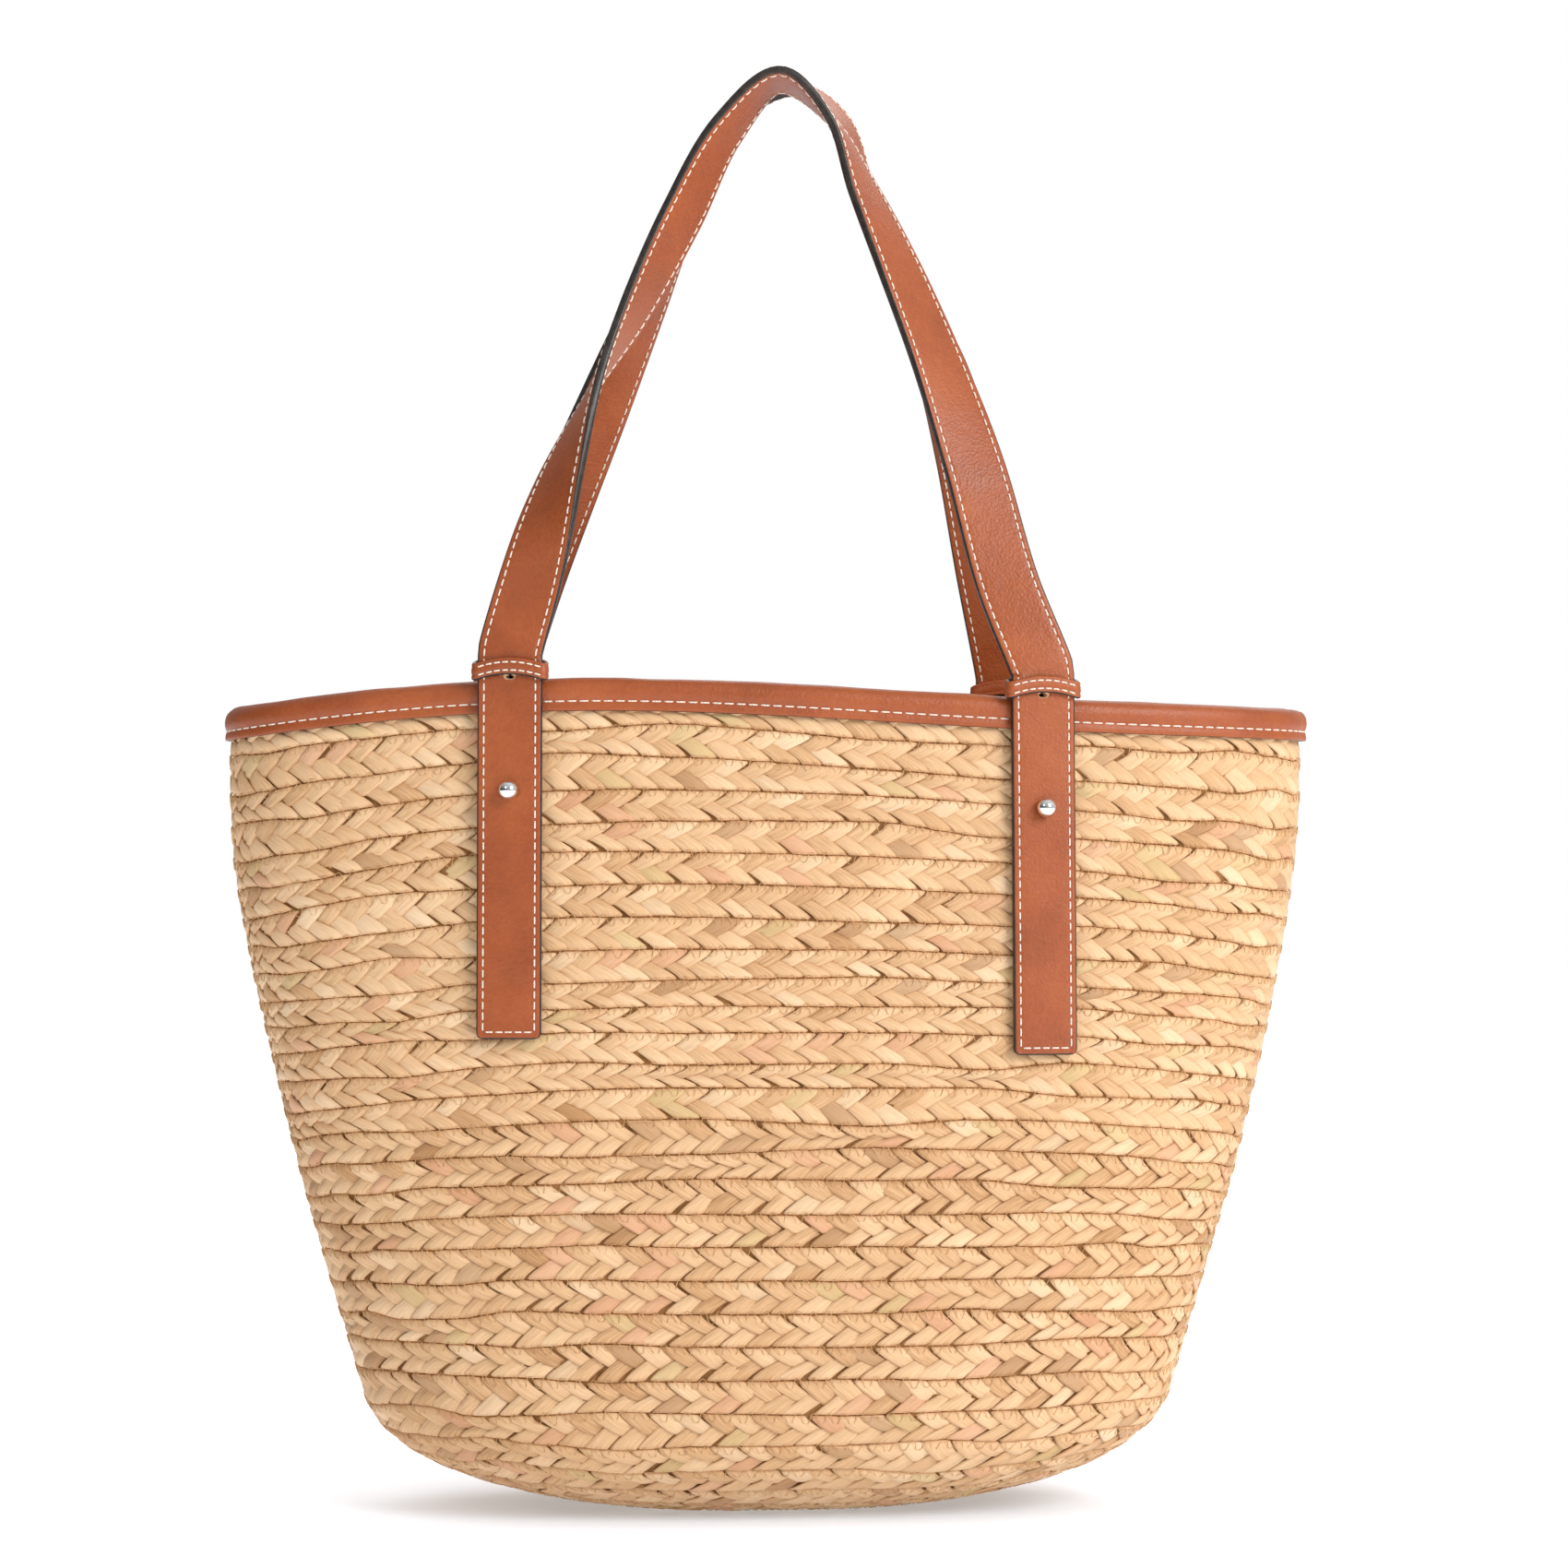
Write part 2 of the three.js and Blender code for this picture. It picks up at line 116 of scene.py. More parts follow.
def ring_quads(rings, around, closed=True, start=0):
    """Quads between successive rings of `around` points, with outward faces for right-handed rings."""
    i = np.arange(rings - 1)[:, None]
    j = np.arange(around if closed else around - 1)[None, :]
    nxt = (j + 1) % around
    quads = np.stack([i * around + j, i * around + nxt, (i + 1) * around + nxt, (i + 1) * around + j], -1)
    return quads.reshape(-1, 4) + start


class Builder:
    """Collects points and quads of one piece, with a material number for each quad."""

    def __init__(self):
        self.points, self.quads, self.material = [], [], []
        self.count = 0

    def add(self, points, quads, material=0):
        points = np.asarray(points, float).reshape(-1, 3)
        quads = np.asarray(quads)
        self.points.append(points)
        self.quads.append(quads + self.count)
        self.material.append(np.broadcast_to(material, len(quads)))
        self.count += len(points)

    def piece(self, name, materials):
        points = np.concatenate(self.points) * MM
        quads = np.concatenate(self.quads)
        mesh = bpy.data.meshes.new(name)
        mesh.vertices.add(len(points))
        mesh.vertices.foreach_set("co", points.astype(np.float32).ravel())
        mesh.loops.add(quads.size)
        mesh.loops.foreach_set("vertex_index", quads.astype(np.int32).ravel())
        mesh.polygons.add(len(quads))
        mesh.polygons.foreach_set("loop_start", np.arange(0, quads.size, 4, dtype=np.int32))
        mesh.polygons.foreach_set("loop_total", np.full(len(quads), 4, np.int32))
        for material in materials:
            mesh.materials.append(material)
        mesh.polygons.foreach_set("material_index", np.concatenate(self.material).astype(np.int32))
        mesh.polygons.foreach_set("use_smooth", np.ones(len(quads), bool))
        mesh.update(calc_edges=True)
        piece = bpy.data.objects.new(name, mesh)
        bpy.context.scene.collection.objects.link(piece)
        return piece


def on_body(piece, body, slot, *nodes):
    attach(piece, body)
    if nodes:
        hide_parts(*nodes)


def bends(piece, body, slot, bend, *nodes):
    """Hides the listed CAD nodes and bakes the piece's place into its mesh. `body` is not used."""
    if nodes:
        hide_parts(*nodes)
    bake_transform(piece)


def set_vector(piece, name, values):
    attribute = piece.data.attributes.new(name, "FLOAT_VECTOR", "POINT")
    attribute.data.foreach_set("vector", np.asarray(values, np.float32).ravel())


def noise_rows(rows, knots, seed):
    """Smooth random values round each row, as a function of the share of the way round."""
    table = np.random.default_rng(seed).normal(size=(rows, knots))

    def sample(row, share):
        position = (share % 1) * knots
        low = np.floor(position).astype(int)
        t = smoothstep(position - low, 0, 1)
        return table[row, low % knots] * (1 - t) + table[row, (low + 1) % knots] * t
    return sample


# ---- materials ------------------------------------------------------------------------------

def srgb(r, g, b):
    def channel(c):
        c = c / 255
        return c / 12.92 if c <= 0.04045 else ((c + 0.055) / 1.055) ** 2.4
    return (channel(r), channel(g), channel(b), 1.0)


class Shader:
    """A node material with one Principled surface; nodes are added and wired by name."""

    def __init__(self, name, color, roughness, specular=0.5, metallic=0.0):
        self.material = bpy.data.materials.new(name)
        self.material.use_nodes = True
        self.nodes = self.material.node_tree.nodes
        self.links = self.material.node_tree.links
        self.surface = self.nodes["Principled BSDF"]
        self.set("Base Color", color)
        self.set("Roughness", roughness)
        self.set("Specular IOR Level", specular)
        self.set("Metallic", metallic)

    def set(self, socket, value):
        self.surface.inputs[socket].default_value = value

    def node(self, kind, **values):
        node = self.nodes.new(kind)
        for key, value in values.items():
            if hasattr(node, key):
                setattr(node, key, value)
            else:
                node.inputs[key.replace("_", " ")].default_value = value
        return node

    def link(self, source, target):
        self.links.new(source, target)

    def coordinates(self, scale, attribute=None):
        mapping = self.node("ShaderNodeMapping")
        mapping.inputs["Scale"].default_value = scale
        if attribute:
            source = self.node("ShaderNodeAttribute", attribute_name=attribute).outputs["Vector"]
        else:
            source = self.node("ShaderNodeTexCoord").outputs["Object"]
        self.link(source, mapping.inputs["Vector"])
        return mapping.outputs["Vector"]

    def noise(self, vector, scale, detail=3.0, roughness=0.5):
        node = self.node("ShaderNodeTexNoise", Scale=scale, Detail=detail, Roughness=roughness)
        self.link(vector, node.inputs["Vector"])
        return node.outputs["Fac"]

    def ramp(self, value, stops):
        node = self.node("ShaderNodeValToRGB")
        while len(node.color_ramp.elements) < len(stops):
            node.color_ramp.elements.new(0.5)
        for element, (place, color) in zip(node.color_ramp.elements, stops):
            element.position = place
            element.color = color
        self.link(value, node.inputs["Fac"])
        return node.outputs["Color"]

    def mix(self, factor, a, b, blend="MIX"):
        node = self.node("ShaderNodeMix", data_type="RGBA", blend_type=blend)
        for socket, value in ((0, factor), (6, a), (7, b)):
            if isinstance(value, (float, tuple)):
                node.inputs[socket].default_value = value
            else:
                self.link(value, node.inputs[socket])
        return node.outputs[2]

    def maths(self, operation, *values):
        node = self.node("ShaderNodeMath", operation=operation)
        for socket, value in enumerate(values):
            if isinstance(value, (int, float)):
                node.inputs[socket].default_value = value
            else:
                self.link(value, node.inputs[socket])
        return node.outputs["Value"]

    def spread(self, value, low, high, to_low=0.0, to_high=1.0):
        node = self.node("ShaderNodeMapRange")
        for socket, number in ((1, low), (2, high), (3, to_low), (4, to_high)):
            node.inputs[socket].default_value = number
        self.link(value, node.inputs[0])
        return node.outputs["Result"]

    def bump(self, height, distance, strength=1.0, under=None):
        node = self.node("ShaderNodeBump", Distance=distance, Strength=strength)
        self.link(height, node.inputs["Height"])
        if under is not None:
            self.link(under, node.inputs["Normal"])
        return node.outputs["Normal"]


def patterned(name, color, roughness, specular, pattern, stops, depth, strength, scale, **values):
    """A material whose colour and relief both follow one noise or wave pattern."""
    s = Shader(name, color, roughness, specular)
    if pattern == "noise":
        level = s.noise(s.coordinates((scale,) * 3), 1.0, values["detail"])
    else:
        wave = s.node("ShaderNodeTexWave", bands_direction="DIAGONAL", Scale=1.0,
                      Distortion=values["distortion"])
        s.link(s.coordinates((scale,) * 3), wave.inputs["Vector"])
        level = wave.outputs["Fac"]
    s.link(s.ramp(level, stops), s.surface.inputs["Base Color"])
    s.link(s.bump(level, depth, strength), s.surface.inputs["Normal"])
    return s.material


# Share of strands from and to, strength and colour: brown, pink, green and pale ones
ODD_STRANDS = [(-1.0, 0.035, 0.45, (150, 100, 58)), (0.035, 0.075, 0.45, (214, 150, 118)),
               (0.075, 0.10, 0.4, (196, 178, 118)), (0.95, 2.0, 0.3, (250, 228, 194))]


def straw_shader():
    s = Shader("straw", srgb(226, 182, 133), 0.55, 0.35)
    fibre = s.coordinates((0.035, 0.9, 1.0), "fibre")
    tone_and_edge_shade = s.node("ShaderNodeSeparateXYZ")
    s.link(s.node("ShaderNodeAttribute", attribute_name="tone_and_edge_shade").outputs["Vector"], tone_and_edge_shade.inputs[0])
    streak = s.noise(fibre, 2.6, 4.0, 0.6)
    broad = s.noise(s.coordinates((9, 9, 9)), 1.0, 2.0)
    level = s.maths("ADD", s.maths("MULTIPLY", tone_and_edge_shade.outputs["X"], 0.10), streak)
    level = s.maths("ADD", level, s.maths("MULTIPLY", s.maths("SUBTRACT", broad, 0.5), 0.35))
    base = s.ramp(level, [(0.12, srgb(184, 136, 89)), (0.40, srgb(217, 173, 127)),
                          (0.62, srgb(231, 191, 147)), (0.9, srgb(243, 211, 171))])
    tint = tone_and_edge_shade.outputs["Y"]
    for low, high, strength, color in ODD_STRANDS:
        chosen = s.maths("MULTIPLY", s.maths("GREATER_THAN", tint, low), s.maths("LESS_THAN", tint, high))
        base = s.mix(s.maths("MULTIPLY", chosen, strength), base, srgb(*color))
    # Strands darken towards their sideways edges, where they tuck under their neighbours: painted shade.
    edge = s.spread(tone_and_edge_shade.outputs["Z"], 0.8, 1.0)
    base = s.mix(s.maths("MULTIPLY", edge, 0.35), base, srgb(150, 104, 62))
    s.link(base, s.surface.inputs["Base Color"])
    s.link(s.spread(streak, 0.2, 0.8, 0.68, 0.48), s.surface.inputs["Roughness"])
    ridges = s.noise(s.coordinates((0.02, 2.2, 1.0), "fibre"), 2.0, 3.0)
    s.link(s.bump(ridges, 0.0004, 0.6), s.surface.inputs["Normal"])
    return s.material


def shadow_sheet_shader():
    # A dark brown sheet that stands for the shade in the gaps between strands: painted shade.
    s = Shader("straw_shadow", srgb(158, 114, 72), 0.9, 0.1)
    weave = s.noise(s.coordinates((220, 220, 60)), 1.0, 3.0)
    s.link(s.ramp(weave, [(0.3, srgb(112, 74, 42)), (0.7, srgb(164, 118, 72))]),
           s.surface.inputs["Base Color"])
    s.link(s.bump(weave, 0.0004, 0.5), s.surface.inputs["Normal"])
    return s.material


def leather_shader(name, dark, middle, light, roughness):
    s = Shader(name, middle, roughness, 0.5)
    cloud = s.noise(s.coordinates((22, 22, 22)), 1.0, 4.0, 0.6)
    fine = s.noise(s.coordinates((420, 420, 420)), 1.0, 2.0)
    level = s.maths("ADD", s.maths("MULTIPLY", cloud, 0.75), s.maths("MULTIPLY", fine, 0.25))
    s.link(s.ramp(level, [(0.32, dark), (0.5, middle), (0.68, light)]), s.surface.inputs["Base Color"])
    s.link(s.spread(cloud, 0.3, 0.7, roughness - 0.05, roughness + 0.08), s.surface.inputs["Roughness"])
    cells = s.node("ShaderNodeTexVoronoi", feature="SMOOTH_F1", Scale=1.0)
    s.link(s.coordinates((900, 900, 900)), cells.inputs["Vector"])
    grain = s.bump(cells.outputs["Distance"], 0.00022, 0.8)
    creases = s.noise(s.coordinates((150, 150, 150)), 1.0, 4.0, 0.55)
    s.link(s.bump(creases, 0.0005, 0.45, grain), s.surface.inputs["Normal"])
    return s.material


def chrome_shader():
    s = Shader("polished_nickel", srgb(228, 228, 230), 0.07, 0.5, 1.0)
    haze = s.noise(s.coordinates((300, 300, 300)), 1.0, 3.0)
    s.link(s.spread(haze, 0.3, 0.7, 0.05, 0.11), s.surface.inputs["Roughness"])
    return s.material


def floor_shader():
    s = Shader("floor", srgb(250, 250, 250), 0.85, 0.1)
    paper = s.noise(s.coordinates((40, 40, 40)), 1.0, 2.0)
    clean = s.ramp(paper, [(0.3, srgb(242, 245, 250)), (0.7, srgb(246, 249, 254))])
    # Painted contact shadow: an ambient-occlusion node turns the floor blue-grey and dims its glow near the
    # bag; the glow keeps the open floor white.
    painted_shadow_ao = s.node("ShaderNodeAmbientOcclusion", samples=6)
    painted_shadow_ao.inputs["Distance"].default_value = 0.16
    s.link(s.mix(painted_shadow_ao.outputs["AO"], srgb(196, 210, 228), clean), s.surface.inputs["Base Color"])
    s.link(s.spread(painted_shadow_ao.outputs["AO"], 0.1, 0.8, 0.31, 0.50), s.surface.inputs["Emission Strength"])
    s.set("Emission Color", (1.0, 1.0, 1.0, 1.0))
    s.set("Specular IOR Level", 0.0)
    return s.material


STRAW = straw_shader()
THREAD = patterned("straw_thread", srgb(226, 186, 134), 0.6, 0.3, "noise",
                   [(0.3, srgb(184, 138, 88)), (0.7, srgb(224, 184, 134))], 0.0002, 0.5, 700, detail=2.0)
SHADOW_SHEET = shadow_sheet_shader()
LEATHER = leather_shader("leather", srgb(141, 66, 24), srgb(157, 75, 29), srgb(170, 86, 36), 0.42)
# A darker, rougher copy of the strap leather for the tabs inside the mouth; its darker colour is painted
# shade.
LEATHER_INSIDE_SHADED = leather_shader("leather_inside", srgb(130, 62, 26), srgb(148, 74, 33), srgb(162, 86, 42),
                                0.55)
PAINT = patterned("edge_paint", srgb(34, 28, 25), 0.38, 0.5, "noise",
                  [(0.35, srgb(24, 20, 18)), (0.75, srgb(58, 46, 38))], 0.0003, 0.4, 260, detail=3.0)
CREAM = patterned("cream_thread", srgb(246, 232, 216), 0.65, 0.3, "wave",
                  [(0.1, srgb(222, 202, 180)), (0.6, srgb(250, 240, 228))], 0.00025, 0.6, 420, distortion=0.6)
RAW = patterned("raw_leather", srgb(222, 170, 128), 0.75, 0.3, "noise",
                [(0.3, srgb(222, 176, 136)), (0.7, srgb(250, 220, 188))], 0.0003, 0.6, 800, detail=3.0)
CHROME = chrome_shader()
CORD = patterned("cotton_cord", srgb(226, 214, 190), 0.85, 0.2, "wave",
                 [(0.1, srgb(196, 182, 156)), (0.7, srgb(236, 226, 206))], 0.0006, 0.6, 160, distortion=1.0)
LEATHER_SET = [LEATHER, PAINT, RAW]


# ---- body surface ---------------------------------------------------------------------------

AROUND = 1440
LINES_PER_ROW = 8
DENTS_UP, DENTS_ROUND, DENT_DEPTH, DENT_INSET = 8, 22, 0.55, 0.3
SEAM_DRIFT = 0.075              # how far a seam strays, as a share of a row


def mouth_shift(x):
    half = WALL_OUTLINE[3, 0]
    return -RIM_DROOP * (x / half) ** 2 - RIM_WAVE * np.sin(np.pi * x / half)


def outline_at(z):
    curve = bezier(WALL_OUTLINE, np.linspace(0, 1, 600))
    return np.interp(z, curve[:, 2], curve[:, 0]), np.interp(z, curve[:, 2], curve[:, 1])


def oval(a, b, angle):
    power = 2 / SECTION_POWER
    c, s = np.cos(angle), np.sin(angle)
    return a * np.sign(c) * np.abs(c) ** power, b * np.sign(s) * np.abs(s) ** power


def base_profile():
    """Half width, half depth and height of the middle of the base, from its flat patch outwards."""
    p = bezier(BASE_OUTLINE, np.linspace(0, 1, 200))
    d = np.gradient(p, axis=0)
    length = np.hypot(d[:, 0], d[:, 2])
    inset = WALL / 2
    return np.stack([p[:, 0] - inset * d[:, 2] / length, p[:, 1] - inset * d[:, 2] / length,
                     p[:, 2] + inset * d[:, 0] / length], 1)


def base_height(profile, x, y):
    low, high = np.zeros_like(x), np.ones_like(x)
    t = np.linspace(0, 1, len(profile))
    for _ in range(24):
        mid = (low + high) / 2
        a, b = np.interp(mid, t, profile[:, 0]), np.interp(mid, t, profile[:, 1])
        outside = (np.abs(x) / a) ** SECTION_POWER + (np.abs(y) / b) ** SECTION_POWER > 1
        low, high = np.where(outside, mid, low), np.where(outside, high, mid)
    return np.interp(low, t, profile[:, 2])


def even_walk(profile, column, start):
    """Distance from the axis against the share walked along the base profile, from `start` outwards."""
    beyond = profile[:, column] > start
    across = np.concatenate([[start], profile[beyond, column]])
    height = np.concatenate([[np.interp(start, profile[:, column], profile[:, 2])], profile[beyond, 2]])
    walked = np.concatenate([[0], np.cumsum(np.hypot(np.diff(across), np.diff(height)))])
    return lambda share: float(np.interp(share * walked[-1], walked, across))


def row_levels():
    """Heights of the seams between rows, from the base's edge to the row that the rim binding hides."""
    uneven = np.random.default_rng(21)
    lower = 1 + 0.06 * uneven.normal(size=LOWER_ROWS)
    upper = 1 + 0.05 * uneven.normal(size=UPPER_ROWS + 1) + np.linspace(-0.06, 0.07, UPPER_ROWS + 1)
    lower *= (BAND_SEAM_Z - WALL_OUTLINE[0, 2]) / lower.sum()
    upper *= (RIM_Z - BINDING_HEIGHT - BAND_SEAM_Z) / (upper.sum() - upper[-1] / 2)
    return np.concatenate([[0], np.cumsum(np.concatenate([lower, upper]))]) + WALL_OUTLINE[0, 2]


def body_grid():
    """Middle surface of the body: a closed line of points for every eighth of a row."""
    lines = (ROWS + 1) * LINES_PER_ROW + 2
    angle = np.linspace(0, 2 * np.pi, AROUND, endpoint=False)
    profile = base_profile()
    end_x = even_walk(profile, 0, profile[-1, 0] - profile[-1, 1])
    front_y = even_walk(profile, 1, 0.0)
    levels = row_levels()
    grid = np.zeros((lines, AROUND, 3))
    for i in range(lines):
        v = i / LINES_PER_ROW
        if v <= BASE_ROWS:
            share = v / BASE_ROWS
            x, y = oval(end_x(share), max(front_y(share), 0.05), angle)
            grid[i] = np.stack([x, y, base_height(profile, x, y)], -1)
            continue
        level = float(np.interp(v - BASE_ROWS, np.arange(len(levels)), levels))
        a, b = outline_at(level)
        x, _ = oval(a - WALL / 2, b, angle)
        sag = ROW_SAG * smoothstep(level, 60, 190) * (1 - smoothstep(level, 300, RIM_Z))
        section = level - sag * np.abs(x / a) ** 3
        a, b = outline_at(section)
        x, y = oval(a - WALL / 2, b - WALL / 2, angle)
        grid[i] = np.stack([x, y, section + mouth_shift(x) * smoothstep(section, RIM_Z / 2, RIM_Z)], -1)
    return grid


def grid_normals(grid):
    along = np.roll(grid, -1, 1) - np.roll(grid, 1, 1)
    normal = unit(np.cross(along, np.gradient(grid, axis=0)))
    normal[0] = normal[1]
    return normal


def dented(grid, normal):
    """Gentle dents that a soft straw wall keeps, none of them under the rim binding."""
    table = np.random.default_rng(3).normal(size=(DENTS_UP + 1, DENTS_ROUND))
    line = np.linspace(0, DENTS_UP - 0.01, grid.shape[0])[:, None]
    place = np.linspace(0, DENTS_ROUND, AROUND, endpoint=False)[None, :]
    i, j = np.floor(line).astype(int), np.floor(place).astype(int)
    s, t = smoothstep(line - i, 0, 1), smoothstep(place - j, 0, 1)
    nxt = (j + 1) % DENTS_ROUND
    low = table[i, j] * (1 - t) + table[i, nxt] * t
    high = table[i + 1, j] * (1 - t) + table[i + 1, nxt] * t
    depth = (low * (1 - s) + high * s) * DENT_DEPTH - DENT_INSET
    rows = np.arange(grid.shape[0])[:, None] / LINES_PER_ROW
    fade = smoothstep(rows, 3, 7) * (1 - smoothstep(rows, ROWS - 3.5, ROWS - 1.0))
    return grid + normal * (depth * fade)[..., None]


EVEN_GRID = body_grid()
GRID = dented(EVEN_GRID, grid_normals(EVEN_GRID))
GRID_NORMAL = grid_normals(GRID)
SEAM_WANDER = noise_rows(ROWS + 3, 30, 5)


def sample(grid, line, around):
    line = np.clip(line, 0, grid.shape[0] - 1.001)
    i, j = np.floor(line).astype(int), np.floor(around).astype(int)
    s, t = (line - i)[..., None], (around - j)[..., None]
    j0, j1 = j % AROUND, (j + 1) % AROUND
    low = grid[i, j0] * (1 - t) + grid[i, j1] * t
    high = grid[i + 1, j0] * (1 - t) + grid[i + 1, j1] * t
    return low * (1 - s) + high * s


class Row:
    """One row of braid: turns a length along the row, a sideways place and a depth into a point."""

    def __init__(self, index):
        self.index = index
        places = np.arange(AROUND).astype(float)
        middle = np.full(AROUND, (index + 0.5) * LINES_PER_ROW)
        line = sample(GRID, middle, places)
        step = np.linalg.norm(np.roll(line, -1, 0) - line, axis=1)
        self.walked = np.concatenate([[0], np.cumsum(step)])
        self.length = self.walked[-1]
        near = sample(GRID, middle + 0.5, places)
        self.pitch = float(np.median(np.linalg.norm(near - line, axis=1))) * 2 * LINES_PER_ROW

    def point(self, along, lateral, depth):
        along, lateral, depth = np.broadcast_arrays(along, lateral, depth)
        around = np.interp(along % self.length, self.walked, np.arange(AROUND + 1).astype(float))
        v = self.index + 0.5 + lateral / self.pitch
        low = np.clip(np.floor(v).astype(int), 0, ROWS)
        t = smoothstep(v - low, 0, 1)
        share = around / AROUND
        wander = SEAM_WANDER(low, share) * (1 - t) + SEAM_WANDER(low + 1, share) * t
        line = (v + wander * SEAM_DRIFT) * LINES_PER_ROW
        return sample(GRID, line, around) + unit(sample(GRID_NORMAL, line, around)) * depth[..., None]


BRAID = [Row(index) for index in range(ROWS + 1)]


# ---- braid ----------------------------------------------------------------------------------

STRAND_RING = np.array([(1, 0), (0.90, 0.72), (0.45, 0.97), (0, 1), (-0.45, 0.97), (-0.90, 0.72),
                        (-1, 0), (-0.85, -0.8), (0, -1), (0.85, -0.8)])
LEG_PLACES = np.array([-1, -0.93, -0.76, -0.42, 0, 0.42, 0.76, 0.93])
STRANDS = 3
DRIFT, WIDTH_CHANGE, LENGTH_CHANGE, TILT, LIFT, PLEAT = 0.91, 0.10, 0.02, 0.035, 0.12, 0.16
STEEPEN = 1.25                  # strands lie flatter where they cross and steeper towards the edges


def braid_piece(name, rows, slant):
    """Three flat strands plaited along each row. Each strand crosses the row on a slant, under one
    neighbour and over the next, and folds back at the row's edge. A slant of 1 points the facets '<'."""
    built = Builder()
    fibre, tone_and_edge_shade = [], []
    across, through = STRAND_RING[:, 0], STRAND_RING[:, 1]
    per_leg = len(LEG_PLACES)
    for row in rows:
        periods = max(round(row.length / (STRANDS * FACET)), 2)
        period = row.length / periods
        legs = 2 * periods
        reach = row.pitch / 2 - STRAND_HALF + 0.1
        steep = 4 * reach / period
        incline = math.atan(steep)
        leg = np.repeat(np.arange(legs), per_leg)
        step = np.tile(LEG_PLACES, legs)
        rising = leg % 2 == 0
        place = np.where(rising, step, -step)
        share = (leg + (1 + STEEPEN * step - (STEEPEN - 1) * step ** 3) / 2) / legs
        edge = np.abs(step)
        turn = np.where(rising, 0.0, np.pi)
        fold = np.interp(edge, [0.76, 0.93, 1.0], [0.0, 0.5, 1.0])
        turn = turn + np.where(rising, 1, -1) * fold * np.pi / 2
        for strand in range(STRANDS):
            seed = row.index * STRANDS + strand
            drift = noise_rows(1, legs, 300 + seed)(0, share)
            width = period / STRANDS * (1 + WIDTH_CHANGE * noise_rows(1, legs, 100 + seed)(0, share))
            width = width * (1.07 - 0.05 * edge ** 6)
            x = share * row.length + (strand / STRANDS + row.index * 0.37) * period + DRIFT * drift
            y = place * reach * (1 + LENGTH_CHANGE * noise_rows(1, legs, 800 + seed)(0, share))
            offset = across * (width / 2)[:, None]
            over = (2 * np.where(rising, y, -y))[:, None] + steep * offset
            rise = np.tanh((1.03 - edge) * reach / 0.75)[:, None] * np.tanh(over / 2.0)
            roll = TILT * noise_rows(1, legs, 700 + seed)(0, share)[:, None]
            depth = STRAND_DEPTH * rise + roll * offset
            depth = depth + LIFT * noise_rows(1, legs, 500 + seed)(0, share)[:, None]
            pleat = np.random.default_rng(1300 + seed).normal(size=(legs, len(across)))[leg]
            half = STRAND_HALF * through * (1 + PLEAT * pleat * (1 - edge ** 4)[:, None])
            lateral = y[:, None] + half * np.sin(turn)[:, None]
            depth = depth + half * np.cos(turn)[:, None]
            quads = ring_quads(len(leg) + 1, len(across)) % (len(leg) * len(across))
            points = row.point(slant * (x[:, None] + offset), lateral, depth).reshape(-1, 3)
            built.add(points, quads if slant < 0 else quads[:, ::-1])
            table = np.random.default_rng(900 + seed)
            shade, tint = table.normal(size=legs)[leg], table.random(size=legs)[leg]
            run = (leg * 2 + step + 1) * reach / math.sin(incline)
            fibre.append(np.stack(np.broadcast_arrays(
                run[:, None] + offset * math.cos(incline) + seed * 137.0, offset * math.sin(incline),
                seed * 3.1), -1).reshape(-1, 3))
            # The third value, the place across a strand, drives the painted shade at the strand's edges.
            tone_and_edge_shade.append(np.stack(np.broadcast_arrays(
                shade[:, None], tint[:, None], np.abs(across)), -1).reshape(-1, 3))
    piece = built.piece(name, [STRAW])
    set_vector(piece, "fibre", np.concatenate(fibre))
    set_vector(piece, "tone_and_edge_shade", np.concatenate(tone_and_edge_shade))
    return piece


THREAD_R, THREAD_INSET = 0.17, 1.3
THREAD_SWING = np.array([1.0, 0.72, -0.72, -1.0, -0.72, 0.72])
THREAD_DEPTH = np.array([1.7, 2.2, 2.2, 1.7, 2.2, 2.2])


def seam_thread(name, rows):
    """Zigzag thread that joins each row to the next one up, pulled flat between its holes."""
    built = Builder()
    for row in rows:
        steps = round(row.length / THREAD_PITCH) * 6
        along = np.linspace(0, row.length, steps, endpoint=False)
        turn = np.arange(steps) % 6
        jitter = rng.normal(size=steps // 6).repeat(6)
        lateral = row.pitch * 0.5 - THREAD_INSET + THREAD_SWING[turn] * (2.4 + 0.3 * jitter)
        place = along + 0.35 * rng.normal(size=steps // 6).repeat(6)
        depth = THREAD_DEPTH[turn]
        centre = row.point(place, lateral, depth)
        normal = unit(row.point(place, lateral, depth + 1) - centre)
        heading = unit(np.roll(centre, -1, 0) - np.roll(centre, 1, 0))
        side = unit(np.cross(heading, normal))
        ring = np.stack([centre + side * THREAD_R, centre + normal * THREAD_R,
                         centre - side * THREAD_R, centre - normal * THREAD_R], 1)
        built.add(ring, ring_quads(steps + 1, 4)[:, ::-1] % (steps * 4))
    return built.piece(name, [THREAD])


def shadow_sheet_shell():
    """Thin sheet in the middle of the wall, coloured dark brown as painted shade where it shows between
    strands.
    """
    built = Builder()
    lines = np.arange(2, GRID.shape[0] - 3, 4)
    columns = np.arange(0, AROUND, 6)
    middle, normal = GRID[np.ix_(lines, columns)], GRID_NORMAL[np.ix_(lines, columns)]
    half = 0.25
    outer, inner = middle + normal * half, middle - normal * half
    sheet = np.concatenate([outer, inner[::-1], outer[:1]])
    built.add(sheet, ring_quads(len(sheet), len(columns)))
    return built.piece("straw_shadow_sheet", [SHADOW_SHEET])


